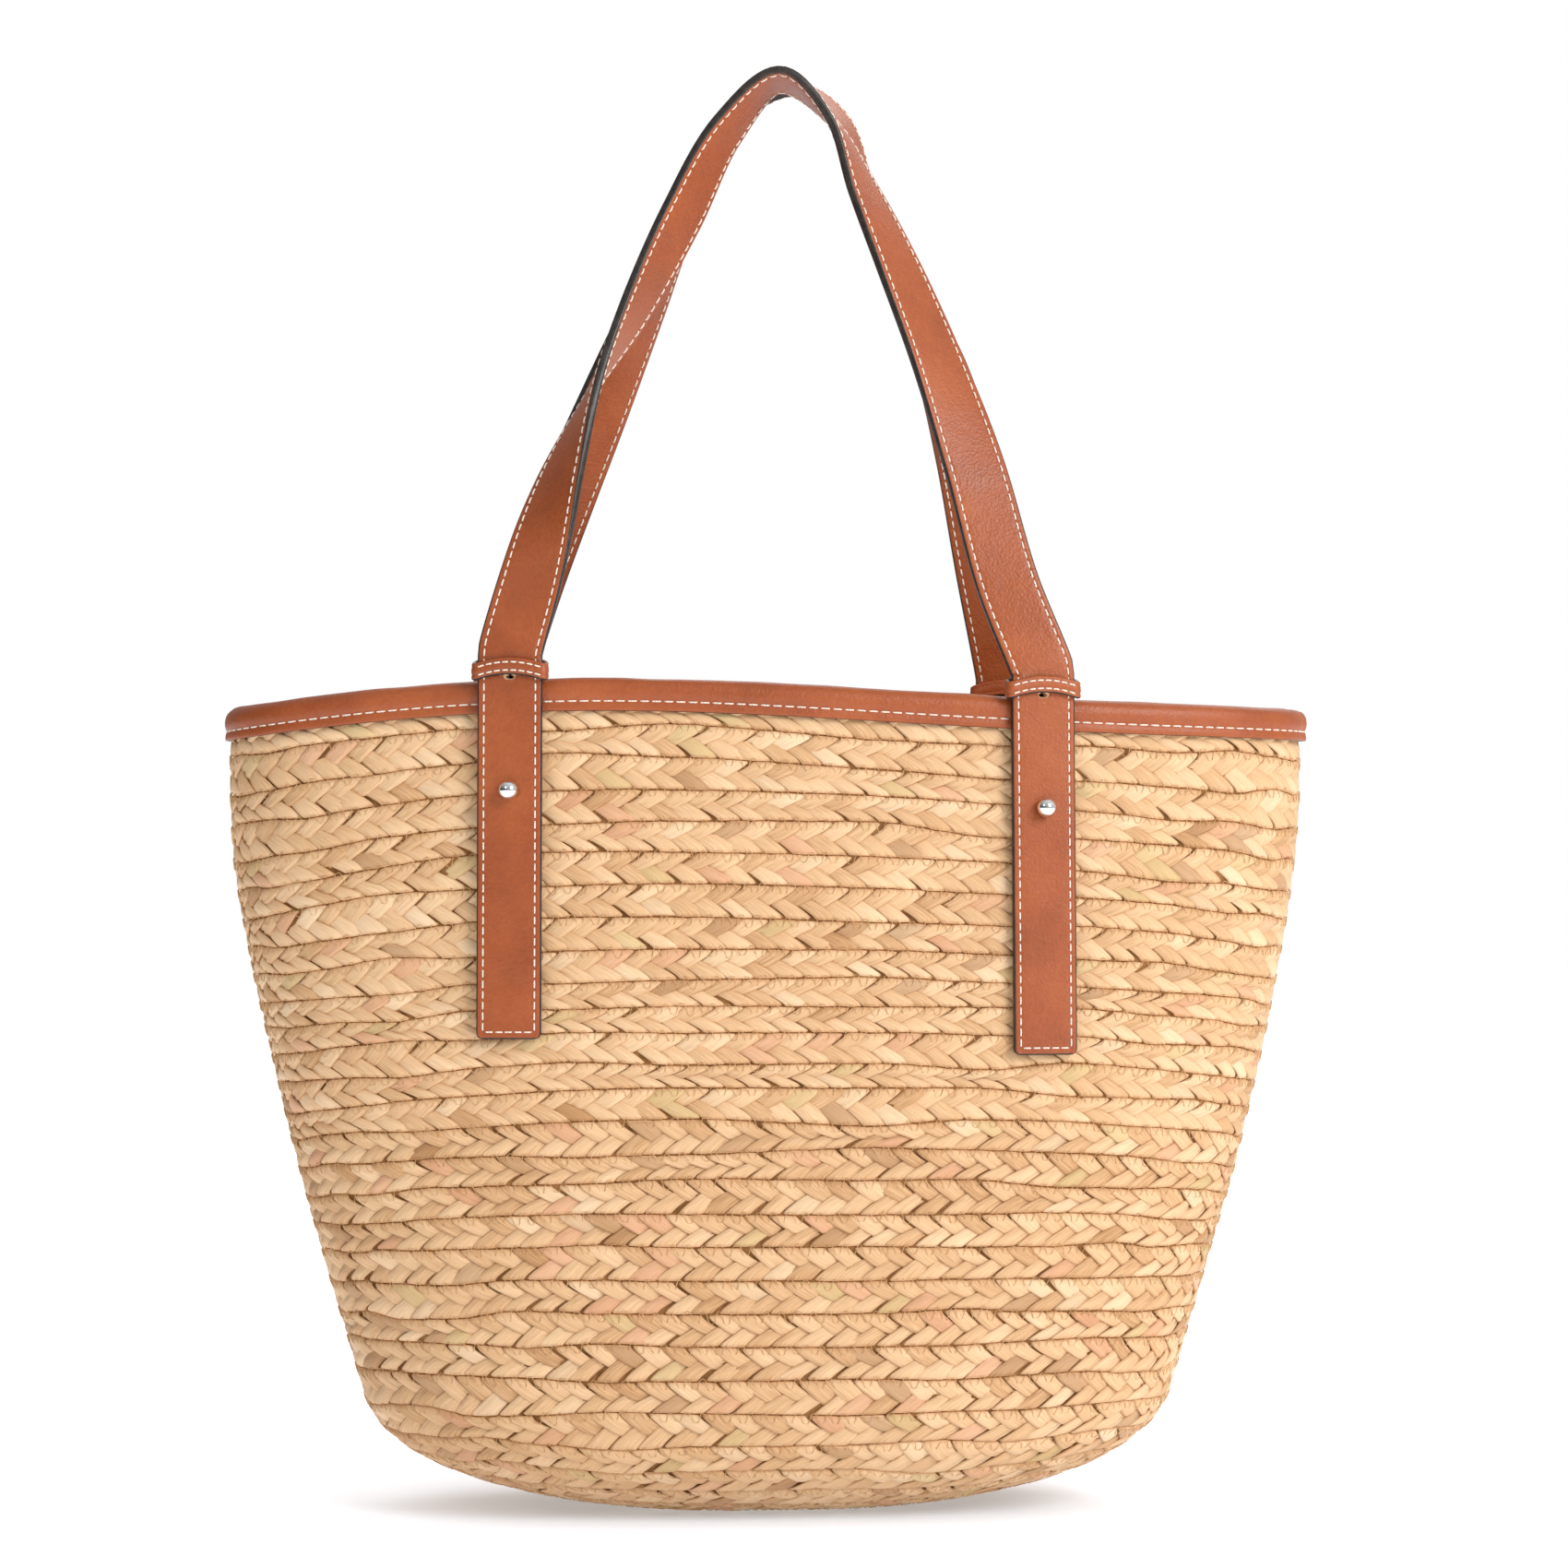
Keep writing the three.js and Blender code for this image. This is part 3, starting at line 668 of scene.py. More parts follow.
split = BASE_ROWS + LOWER_ROWS
half_lower = BASE_ROWS + LOWER_ROWS // 2
third_upper, two_thirds_upper = split + UPPER_ROWS // 3, split + 2 * UPPER_ROWS // 3
for part, low, high, slant in (
        ("base_braid", 0, BASE_ROWS, -1), ("lower_braid_a", BASE_ROWS, half_lower, -1),
        ("lower_braid_b", half_lower, split, -1), ("upper_braid_a", split, third_upper, 1),
        ("upper_braid_b", third_upper, two_thirds_upper, 1),
        ("upper_braid_c", two_thirds_upper, ROWS + 1, 1)):
    braid = braid_piece(f"straw_{part}", BRAID[low:high], slant)
    on_body(braid, "bag", "straw", f"straw_{part.split('_')[0]}")
on_body(seam_thread("seam_thread_low", BRAID[:split]), "bag", "straw")
on_body(seam_thread("seam_thread_high", BRAID[split:ROWS]), "bag", "straw")
on_body(shadow_sheet_shell(), "bag", "straw")


# ---- sweeps ---------------------------------------------------------------------------------

def outward(points, quads):
    """The quads, turned over if they face into the solid."""
    p = points - points.mean(0)
    a, b, c, d = (p[quads[:, k]] for k in range(4))
    volume = np.einsum("ij,ij->", a, np.cross(b, c)) + np.einsum("ij,ij->", a, np.cross(c, d))
    return quads if volume > 0 else quads[:, ::-1]


def cap_quads(around, start, turned=False):
    """Quads that close a ring with an even number of points."""
    k = np.arange((around - 2) // 2)
    quads = np.stack([np.zeros_like(k), 2 * k + 1, 2 * k + 2, 2 * k + 3], 1) + start
    return quads[:, ::-1] if turned else quads


def lathed(built, corner, profile, around=48):
    """Turns a list of (radius, out) round a stud's axis, closed at both ends."""
    profile = np.array(profile, float)
    angle = np.linspace(0, 2 * np.pi, around, endpoint=False)
    w = profile[:, :1] * np.cos(angle)
    v = STUD_HEIGHT + profile[:, :1] * np.sin(angle)
    points = corner.at(w, v, np.broadcast_to(profile[:, 1:], w.shape)).reshape(-1, 3)
    last = (len(profile) - 1) * around
    caps = [cap_quads(around, 0, True), cap_quads(around, last)]
    quads = np.concatenate([ring_quads(len(profile), around), *caps])
    built.add(points, outward(points, quads))


def strap_section(half_width, half_thick, stitch_in, edge=1.0):
    """Half of a strap's outline, from its left edge to its right one: a crown, a channel for the
    stitches along each side and a rounded edge."""
    h, w = half_thick, half_width
    s = w - stitch_in
    right = [(0, h + 0.10), (0.35 * w, h + 0.09), (0.62 * w, h + 0.04), (s - 1.2, h),
             (s - 0.55, h - 0.08), (s, h - 0.26), (s + 0.55, h - 0.08), (w - 0.7 * edge, h - 0.06),
             (w - 0.25 * edge, h - 0.45 * edge), (w, h - 1.1 * edge)]
    left = [(-a, b) for a, b in right[:0:-1]]
    return np.array(left + right)


STRAP_SECTION = strap_section(STRAP_WIDTH / 2, STRAP_THICK / 2, 3.0)
TAB_SECTION = strap_section(TAB_WIDTH / 2, TAB_LEATHER / 2, 3.0, 0.6)


def ribbon(built, middle, width, face, section, taper=None, swell=None):
    """Sweeps a strap along its middle line. `taper` narrows it and `swell` lifts its face, per station."""
    top = section
    bottom = np.stack([section[::-1, 0], -section[::-1, 1]], 1)
    ring = np.concatenate([top, bottom])
    count = len(ring)
    stations = len(middle)
    taper = np.ones((stations, 2)) if taper is None else taper
    w = ring[None, :, 0] * taper[:, :1]
    n = ring[None, :, 1] * taper[:, 1:]
    if swell is not None:
        n = n + swell(np.arange(stations)[:, None], w)
    points = (middle[:, None] + width[:, None] * w[..., None] + face[:, None] * n[..., None]).reshape(-1, 3)
    sides = ring_quads(stations, count)
    i = np.arange(len(top) - 1)
    cap = np.stack([i, i + 1, count - 2 - i, count - 1 - i], 1)
    quads = np.concatenate([sides, cap[:, ::-1], cap + (stations - 1) * count])
    limit = section[-3, 0] - 0.01
    nxt = np.roll(ring, -1, 0)
    painted = ((np.abs(ring[:, 0]) > limit) & (np.abs(nxt[:, 0]) > limit)).astype(int)
    near_end = np.minimum(taper[:-1, 1], taper[1:, 1]) < 0.99
    material = np.where(near_end[:, None], 1, painted[None, :]).ravel()
    built.add(points, outward(points, quads), np.concatenate([material, np.ones(2 * len(cap), int)]))


STITCH_ALONG = np.array([-0.5, -0.43, -0.2, 0.2, 0.43, 0.5])
STITCH_LIFT = np.array([-0.3, 0.12, 0.3, 0.3, 0.12, -0.3])
STITCH_THICK = np.array([0.5, 0.9, 1.0, 1.0, 0.9, 0.5])


def stitches(built, path, normal, pitch=STITCH_PITCH, dash=STITCH_DASH, closed=False):
    """A row of separate stitches along a path, each dipping into the leather at both ends."""
    if closed:
        path, normal = np.concatenate([path, path[:1]]), np.concatenate([normal, normal[:1]])
    walked = np.concatenate([[0], np.cumsum(np.linalg.norm(np.diff(path, axis=0), axis=1))])
    count = max(round(walked[-1] / pitch), 1)
    centre = (np.arange(count) + 0.5) * walked[-1] / count
    place = (centre[:, None] + STITCH_ALONG * dash).ravel()

    def read(line, shift=0.0):
        return np.stack([np.interp(place + shift, walked, line[:, k]) for k in range(3)], -1)
    at, up = read(path), unit(read(normal))
    side = unit(np.cross(up, unit(read(path, 0.5) - read(path, -0.5))))
    lift, thick = np.tile(STITCH_LIFT, count)[:, None], np.tile(STITCH_THICK, count)[:, None] * STITCH_R
    turn = np.arange(6) * np.pi / 3
    ring = (at + up * lift)[:, None] + side[:, None] * (thick * np.cos(turn))[..., None]
    ring = ring + up[:, None] * (thick * np.sin(turn))[..., None]
    rings = len(STITCH_ALONG)
    one = np.concatenate([ring_quads(rings, 6), cap_quads(6, 0, True), cap_quads(6, (rings - 1) * 6)])
    quads = (one[None] + (np.arange(count) * rings * 6)[:, None, None]).reshape(-1, 4)
    built.add(ring, quads)


def cut_out(piece, cutters):
    """Cuts solids out of a piece; the cut walls keep the cutters' material."""
    for cutter in cutters:
        modifier = piece.modifiers.new("cut", "BOOLEAN")
        modifier.operation = "DIFFERENCE"
        modifier.solver = "EXACT"
        modifier.material_mode = "TRANSFER"
        modifier.object = cutter
    ready = bpy.context.evaluated_depsgraph_get()
    mesh = bpy.data.meshes.new_from_object(piece.evaluated_get(ready))
    piece.modifiers.clear()
    piece.data = mesh
    for cutter in cutters:
        bpy.data.objects.remove(cutter)


# ---- strap corners --------------------------------------------------------------------------

def station(out, height):
    a, b = outline_at(RIM_Z + height)
    return a - WALL / 2 + out, b - WALL / 2 + out


def surface_depth(x, out, height):
    a, b = station(out, height)
    return b * (1 - abs(x / a) ** SECTION_POWER) ** (1 / SECTION_POWER)


class Corner:
    """Local frame of one strap leg: along the strap's width, up the strap and out of the bag."""

    def __init__(self, x_side, y_side):
        x = x_side * STRAP_X
        inner = surface_depth(x - STRAP_WIDTH / 2, BINDING_OUT, 0)
        outer = surface_depth(x + STRAP_WIDTH / 2, BINDING_OUT, 0)
        depth = max(surface_depth(x, BINDING_OUT, 0), (inner + outer) / 2)
        low = surface_depth(x, TAIL_END_OFFSET, TAIL_END)
        width = unit(np.array([STRAP_WIDTH, y_side * (outer - inner), 0.0]))
        up = unit(np.array([0.0, y_side * (depth - low), -TAIL_END]))
        self.width = -width if y_side > 0 else width
        self.out = unit(np.cross(self.width, up))
        self.up = np.cross(self.out, self.width)
        self.origin = np.array([x, y_side * depth, RIM_Z + mouth_shift(x)])

    def at(self, w, v, n):
        w, v, n = np.broadcast_arrays(*(np.asarray(k, float) for k in (w, v, n)))
        return self.origin + w[..., None] * self.width + v[..., None] * self.up + n[..., None] * self.out


SIDES = {"front": -1, "rear": 1}
ENDS = {"left": -1, "right": 1}
CORNERS = {f"{panel}_{end}": Corner(x, y) for panel, y in SIDES.items() for end, x in ENDS.items()}
JOINTS = {joint["child"]: joint for joint in frame["record"]["behaviour"]["joints"]}

TAIL_START = 4.6                # inside the keeper, where the arch takes over
END_ROUND, TAB_ROUND = 3.0, 6.0
SPARE_TALL, SPARE_FLARE = 0.55, 0.8


def end_taper(distance, radius, width, places, thinness):
    """Rounded corners and a softened edge over the last millimetres of a strap or tab."""
    inside = np.clip(radius - distance, 0, radius)
    narrow = radius - np.sqrt(np.maximum(radius ** 2 - inside ** 2, 0))
    return np.stack([1 - narrow / (width / 2), np.interp(distance, places, thinness)], 1)


def hole_cutter(corner, radius, height, tall=1.0, flare=0.0):
    """A round hole with a slit above it, as one solid across the strap, opening towards its face."""
    turn = np.linspace(0, 2 * np.pi, 32, endpoint=False) + np.pi / 2
    half = SLIT_WIDTH / 2
    rim = [(radius * math.cos(a), radius * math.sin(a)) for a in turn if abs(radius * math.cos(a)) > half
           or math.sin(a) < 0]
    left = [(x, y) for x, y in rim if x < 0 or y < 0 and x <= 0]
    right = [(x, y) for x, y in rim if (x, y) not in left]
    outline = [(-half, SLIT_LENGTH)] + left + right + [(half, SLIT_LENGTH)]
    if len(outline) % 2:
        outline.insert(1, (-half, SLIT_LENGTH / 2 + radius / 2))
    outline = np.array(outline)
    w, v = outline[:, 0], outline[:, 1] * tall
    back = corner.at(w * (1 - flare), v * (1 - flare) + height, STRAP_BACK - 2)
    points = np.concatenate([back, corner.at(w * (1 + flare), v * (1 + flare) + height, STRAP_FACE + 2)])
    count = len(outline)
    quads = np.concatenate([ring_quads(2, count), cap_quads(count, 0, True), cap_quads(count, count)])
    built = Builder()
    built.add(points, outward(points, quads))
    return built.piece("cutter", [RAW])


def strap_tail(name, corner):
    distance = np.concatenate([[0, 0.25, 0.7, 1.2, 1.8, 2.4, 3.0, 4.5],
                               np.arange(7, TAIL_START - TAIL_END + 0.1, 2.5)])
    v = TAIL_END + distance
    middle = corner.at(0, v, STRAP_MIDDLE)
    width = np.broadcast_to(corner.width, middle.shape)
    face = np.broadcast_to(corner.out, middle.shape)
    ripple = noise_rows(1, 16, 40 + len(name))

    def swell(i, w):
        calm = smoothstep(np.abs(w), STRAP_WIDTH / 2, 4)
        return 0.10 * ripple(0, v[i] / 170 + w / 400) * calm
    built = Builder()
    taper = end_taper(distance, END_ROUND, STRAP_WIDTH, [0, 0.25, 0.7], [0.62, 0.9, 1.0])
    ribbon(built, middle, width, face, STRAP_SECTION, taper, swell)
    tail = built.piece(f"{name}_tail", LEATHER_SET)
    spare = hole_cutter(corner, SPARE_R, SPARE_HOLE, SPARE_TALL, SPARE_FLARE)
    cut_out(tail, [hole_cutter(corner, HOLE_R, STUD_HEIGHT), spare])
    return tail


def tail_stitching(name, corner):
    built = Builder()
    low = TAIL_END + 3.2
    v = np.linspace(low, TAIL_START - 1, 90)
    level = STRAP_THICK / 2 - 0.2
    for side in (1, -1):
        normal = np.broadcast_to(corner.out * side, (len(v), 3))
        for edge in (-STITCH_EDGE, STITCH_EDGE):
            stitches(built, corner.at(edge, v, STRAP_MIDDLE + side * level), normal)
        w = np.linspace(-STITCH_EDGE + 0.8, STITCH_EDGE - 0.8, 30)
        across = corner.at(w, low, STRAP_MIDDLE + side * (level + 0.1))
        stitches(built, across, np.broadcast_to(corner.out * side, (len(w), 3)))
    return built.piece(f"{name}_tail_stitching", [CREAM])


KEEPER_SECTION = np.array([
    (-1.0, 0.4), (-1.1, 2.0), (-1.1, 5.2), (-1.0, 6.9), (-0.5, 7.3), (0.4, 7.4), (1.0, 7.0), (1.15, 6.3),
    (0.95, 5.6), (1.2, 5.0), (1.3, 3.6), (1.2, 2.5), (0.95, 1.9), (1.25, 1.2), (1.2, 0.3), (0.75, -0.2),
    (0.0, -0.35), (-0.6, -0.1)])
KEEPER_STITCHES = (5.6, 1.9)


def keeper_path():
    """Closed loop round the strap, at the middle of the keeper's leather, with outward directions."""
    r = 2.0
    half = STRAP_WIDTH / 2 + KEEPER_SLACK + KEEPER_LEATHER / 2
    low = STRAP_BACK - KEEPER_SLACK - KEEPER_LEATHER / 2
    high = STRAP_FACE + KEEPER_SLACK + KEEPER_LEATHER / 2
    turn = np.linspace(0, np.pi / 2, 8)[1:-1]
    sides = [((-half + r, high), (half - r, high), 26), ((half, high - r), (half, low + r), 2),
             ((half - r, low), (-half + r, low), 26), ((-half, low + r), (-half, high - r), 2)]
    places, outs = [], []
    for k, (start, end, count) in enumerate(sides):
        facing = np.pi / 2 * (1 - k)
        out = np.array([math.cos(facing), math.sin(facing)])
        places.extend(np.linspace(start, end, count))
        outs.extend([out] * count)
        centre = end - r * out
        for angle in facing - turn:
            outs.append(np.array([math.cos(angle), math.sin(angle)]))
            places.append(centre + r * outs[-1])
    return np.array(places), np.array(outs)


def keeper_lift(w, n):
    """Height of the keeper's lower edge: arched across its width, and hanging lower in front."""
    half = STRAP_WIDTH / 2 + KEEPER_SLACK + KEEPER_LEATHER
    back = STRAP_BACK - KEEPER_SLACK - KEEPER_LEATHER
    front = STRAP_FACE + KEEPER_SLACK + KEEPER_LEATHER
    return RIM_CLEAR + KEEPER_ARCH * (1 - (w / half) ** 2) - KEEPER_TIP * (n - back) / (front - back)


def keeper(name, corner):
    places, outs = keeper_path()
    w = places[:, :1] + outs[:, :1] * KEEPER_SECTION[:, 0]
    n = places[:, 1:] + outs[:, 1:] * KEEPER_SECTION[:, 0]
    v = KEEPER_SECTION[:, 1] + keeper_lift(places[:, :1], places[:, 1:])
    points = corner.at(w, v, n).reshape(-1, 3)
    count = len(KEEPER_SECTION)
    quads = ring_quads(len(places) + 1, count) % (len(places) * count)
    painted = np.zeros(count, int)
    painted[[4, 14, 15, 16]] = 1
    built = Builder()
    built.add(points, outward(points, quads), np.tile(painted, len(places)))
    return built.piece(f"{name}_keeper_band", LEATHER_SET)


def keeper_stitching(name, corner):
    built = Builder()
    w = np.linspace(-14.6, 14.6, 50)
    face = STRAP_FACE + KEEPER_SLACK + KEEPER_LEATHER + 0.02
    normal = np.broadcast_to(corner.out, (len(w), 3))
    for height in KEEPER_STITCHES:
        stitches(built, corner.at(w, height + keeper_lift(w, face), face), normal, 3.9, 2.9)
    return built.piece(f"{name}_keeper_stitching", [CREAM])


def tab_path():
    """Out and height of the tab's middle, over the rim and down the inside, with its face directions."""
    r = 2.6
    deep = (TAB_OUTSIDE + TAB_INSIDE) / 2
    high = RIM_CLEAR + TAB_LEATHER / 2
    places = [(n, high, 0, 1) for n in np.linspace(-3.0, deep + r, 5)]
    for a in np.linspace(0, np.pi / 2, 9)[1:]:
        places.append((deep + r - r * math.sin(a), high - r + r * math.cos(a), -math.sin(a), math.cos(a)))
    for v in np.arange(high - r - 3, TAB_END + 7, -3):
        places.append((deep, v, -1, 0))
    for d in (6.0, 4.5, 3.0, 1.8, 0.8, 0.3, 0.0):
        places.append((deep, TAB_END + d, -1, 0))
    return np.array(places)


def tab(name, corner):
    path = tab_path()
    middle = corner.at(0, path[:, 1], path[:, 0])
    face = path[:, 2:3] * corner.out + path[:, 3:4] * corner.up
    distance = np.where(path[:, 2] < -0.99, path[:, 1] - TAB_END, 50)
    taper = end_taper(distance, TAB_ROUND, TAB_WIDTH, [0, 0.3, 0.8], [0.6, 0.9, 1.0])
    built = Builder()
    width = np.broadcast_to(corner.width, middle.shape)
    ribbon(built, middle, width, face, TAB_SECTION, taper)
    return built.piece(f"{name}_tab_leather", [LEATHER_INSIDE_SHADED, PAINT, RAW])


def tab_stitching(name, corner):
    built = Builder()
    level = TAB_INSIDE + 0.15
    edge = TAB_WIDTH / 2 - 3.0
    v = np.linspace(-1.5, TAB_END + 7, 50)
    normal = np.broadcast_to(-corner.out, (len(v), 3))
    for w in (-edge, edge):
        stitches(built, corner.at(w, v, level), normal)
    w = np.linspace(-edge + 2.5, edge - 2.5, 30)
    stitches(built, corner.at(w, TAB_END + 3.4, level), np.broadcast_to(-corner.out, (len(w), 3)))
    return built.piece(f"{name}_tab_stitching", [CREAM])


def stud(name, corner):
    centre = STRAP_FACE + 0.3 + BALL_R * 0.9
    meet = math.asin(NECK_R / BALL_R)
    profile = [(0.03, TAB_INSIDE + 0.4), (NECK_R - 0.2, TAB_INSIDE + 0.4), (NECK_R, TAB_INSIDE + 0.6)]
    for a in np.linspace(meet, np.pi, 26)[:-1]:
        profile.append((BALL_R * math.sin(a), centre - BALL_R * math.cos(a)))
    profile.append((0.03, centre + BALL_R))
    built = Builder()
    lathed(built, corner, profile)
    return built.piece(f"{name}_ball", [CHROME])


def screw(name, corner):
    face = TAB_INSIDE - 0.25
    profile = [(0.03, face), (SCREW_HEAD_R - 0.1, face), (SCREW_HEAD_R, face - 0.3),
               (SCREW_HEAD_R - 0.1, face - 0.8), (SCREW_HEAD_R - 0.7, face - 1.3), (3.0, face - 1.55),
               (0.03, face - 1.65)]
    built = Builder()
    lathed(built, corner, profile)
    piece = built.piece(f"{name}_screw_head", [CHROME])
    slot = Builder()
    w, v, n = np.meshgrid([-6, 6], [-0.55, 0.55], [face - 3, face - 0.9], indexing="ij")
    points = corner.at(w, STUD_HEIGHT + v, n).reshape(-1, 3)
    quads = np.array([(0, 1, 3, 2), (4, 6, 7, 5), (0, 4, 5, 1), (2, 3, 7, 6), (0, 2, 6, 4), (1, 5, 7, 3)])
    slot.add(points, outward(points, quads))
    cut_out(piece, [slot.piece("cutter", [CHROME])])
    return piece


for name, corner in CORNERS.items():
    end_body = f"{name}_strap_end"
    bend = [tuple(corner.at(0, v, STRAP_MIDDLE) * MM) for v in (-3.0, -15.0)]
    bends(strap_tail(name, corner), end_body, "leather", bend, end_body, f"{name}_strap_pass")
    bends(tail_stitching(name, corner), end_body, "padding_cord", bend)
    on_body(keeper(name, corner), "bag", "leather", f"{name}_keeper")
    on_body(keeper_stitching(name, corner), "bag", "padding_cord")
    on_body(tab(name, corner), "bag", "leather_inside", f"{name}_tab")
    on_body(tab_stitching(name, corner), "bag", "padding_cord")
    on_body(stud(name, corner), "bag", "polished_metal", f"{name}_stud")
    on_body(screw(name, corner), "bag", "polished_metal", f"{name}_screw")


# ---- rim binding ----------------------------------------------------------------------------

BINDING_FACE = [
    (3.5, -15.0), (4.3, -14.8), (4.55, -14.2), (4.6, -13.0), (4.5, -11.7), (4.2, -11.0), (3.9, -10.5),
    (4.15, -10.0), (4.65, -9.2), (5.0, -8.0), (5.2, -6.6), (5.2, -5.2), (4.95, -3.6), (4.3, -2.2),
    (3.2, -1.1), (1.7, -0.35)]
BINDING_LINING = [(2.8, -15.0), (2.8, -4.2), (1.6, -2.6)]
RIM_STITCH_Z, RIM_STITCH_OUT = -10.5, 3.95
RIM_COLUMNS = 720


def rim_point(out, height, angle):
    a, b = outline_at(RIM_Z + height)
    x, y = oval(a - WALL / 2 + out, b - WALL / 2 + out, angle)
    z = RIM_Z + height + mouth_shift(x) * smoothstep(RIM_Z + height, RIM_Z / 2, RIM_Z)
    return np.stack([x, y, z], -1)


def rim_angles():
    """Angles spaced evenly by length round the mouth."""
    angle = np.linspace(0, 2 * np.pi, 6001)
    line = rim_point(0, 0, angle)
    walked = np.concatenate([[0], np.cumsum(np.linalg.norm(np.diff(line, axis=0), axis=1))])
    return np.interp(np.linspace(0, walked[-1], RIM_COLUMNS, endpoint=False), walked, angle)


def lap_rise(angle):
    """How far the join at the right end stands proud, where one end of the leather laps the other."""
    lap = np.where(angle > np.pi, angle - 2 * np.pi, angle)
    return 0.8 * smoothstep(lap, -0.16, -0.13) * (1 - smoothstep(lap, 0.0, 0.5))


def binding():
    angle = rim_angles()
    lapped = lap_rise(angle)
    face = np.array(BINDING_FACE)
    lining = np.array(BINDING_LINING)
    section = np.concatenate([face, [(0, 0)], face[::-1] * (-1, 1), lining * (-1, 1), lining[::-1]])
    puff = noise_rows(3, 70, 77)
    share = np.linspace(0, 1, RIM_COLUMNS, endpoint=False)
    rings = []
    for out, height in section:
        on_face = abs(out) > 3.2 or height > -2
        soft = 0.13 * puff(0 if out > 0 else 1, share) * smoothstep(height, -10, -7) * (abs(out) > 2)
        extra = (lapped * (out > 1) + soft) if on_face else 0
        crest = 0.2 * puff(2, share) * (height > -1)
        ring = rim_point(out + np.sign(out) * extra, height, angle)
        ring[:, 2] += crest
        rings.append(ring)
    points = np.stack(rings, 1)
    count = len(section)
    quads = ring_quads(RIM_COLUMNS + 1, count) % (RIM_COLUMNS * count)
    painted = np.zeros(count, int)
    painted[[0, count - 1]] = 1
    edge = 2 * len(face)
    painted[[edge - 1, edge]] = 1
    points = points.reshape(-1, 3)
    built = Builder()
    built.add(points, outward(points, quads), np.tile(painted, RIM_COLUMNS))
    return built.piece("rim_padding", LEATHER_SET)


def rim_stitching():
    built = Builder()
    angle = rim_angles()
    for out in (RIM_STITCH_OUT, -RIM_STITCH_OUT):
        path = rim_point(out, RIM_STITCH_Z, angle)
        raised = lap_rise(angle) * (out > 0)
        along = unit(np.roll(path, -1, 0) - np.roll(path, 1, 0))
        normal = unit(np.cross(along, (0, 0, 1))) * np.sign(out)
        stitches(built, path + normal * raised[:, None], normal, 5.5, 4.3, closed=True)
    return built.piece("rim_stitching", [CREAM])


rim = binding()
on_body(rim, "bag", "leather", "rim_binding")
on_body(rim_stitching(), "bag", "padding_cord")


# ---- handle arches --------------------------------------------------------------------------

def centripetal(points, t):
    """Points of a centripetal Catmull-Rom curve through `points`, for t from 0 to 1."""
    points = np.asarray(points, float)
    points = np.concatenate([[2 * points[0] - points[1]], points, [2 * points[-1] - points[-2]]])
    count = len(points) - 3
    place = np.clip(np.asarray(t, float) * count, 0, count - 1e-9)
    i = np.floor(place).astype(int)
    s = (place - i)[:, None]
    p = [points[i + k] for k in range(4)]
    d = [np.maximum(np.linalg.norm(p[k + 1] - p[k], axis=1), 1e-8)[:, None] ** 0.5 for k in range(3)]
    m1 = ((p[1] - p[0]) / d[0] - (p[2] - p[0]) / (d[0] + d[1]) + (p[2] - p[1]) / d[1]) * d[1]
    m2 = ((p[2] - p[1]) / d[1] - (p[3] - p[1]) / (d[1] + d[2]) + (p[3] - p[2]) / d[2]) * d[1]
    return (p[1] + m1 * s + (-3 * p[1] + 3 * p[2] - 2 * m1 - m2) * s ** 2
            + (2 * p[1] - 2 * p[2] + m1 + m2) * s ** 3)


def uniform_spline(values, t):
    values = np.asarray(values, float)
    last = len(values) - 1
    place = np.clip(np.asarray(t, float) * last, 0, last - 1e-9)
    i = np.floor(place).astype(int)
    s = place - i
    a, b = values[np.maximum(i - 1, 0)], values[i]
    c, d = values[np.minimum(i + 1, last)], values[np.minimum(i + 2, last)]
    m1, m2 = (c - a) / 2, (d - b) / 2
    return b + m1 * s + (-3 * b + 3 * c - 2 * m1 - m2) * s ** 2 + (2 * b - 2 * c + m1 + m2) * s ** 3


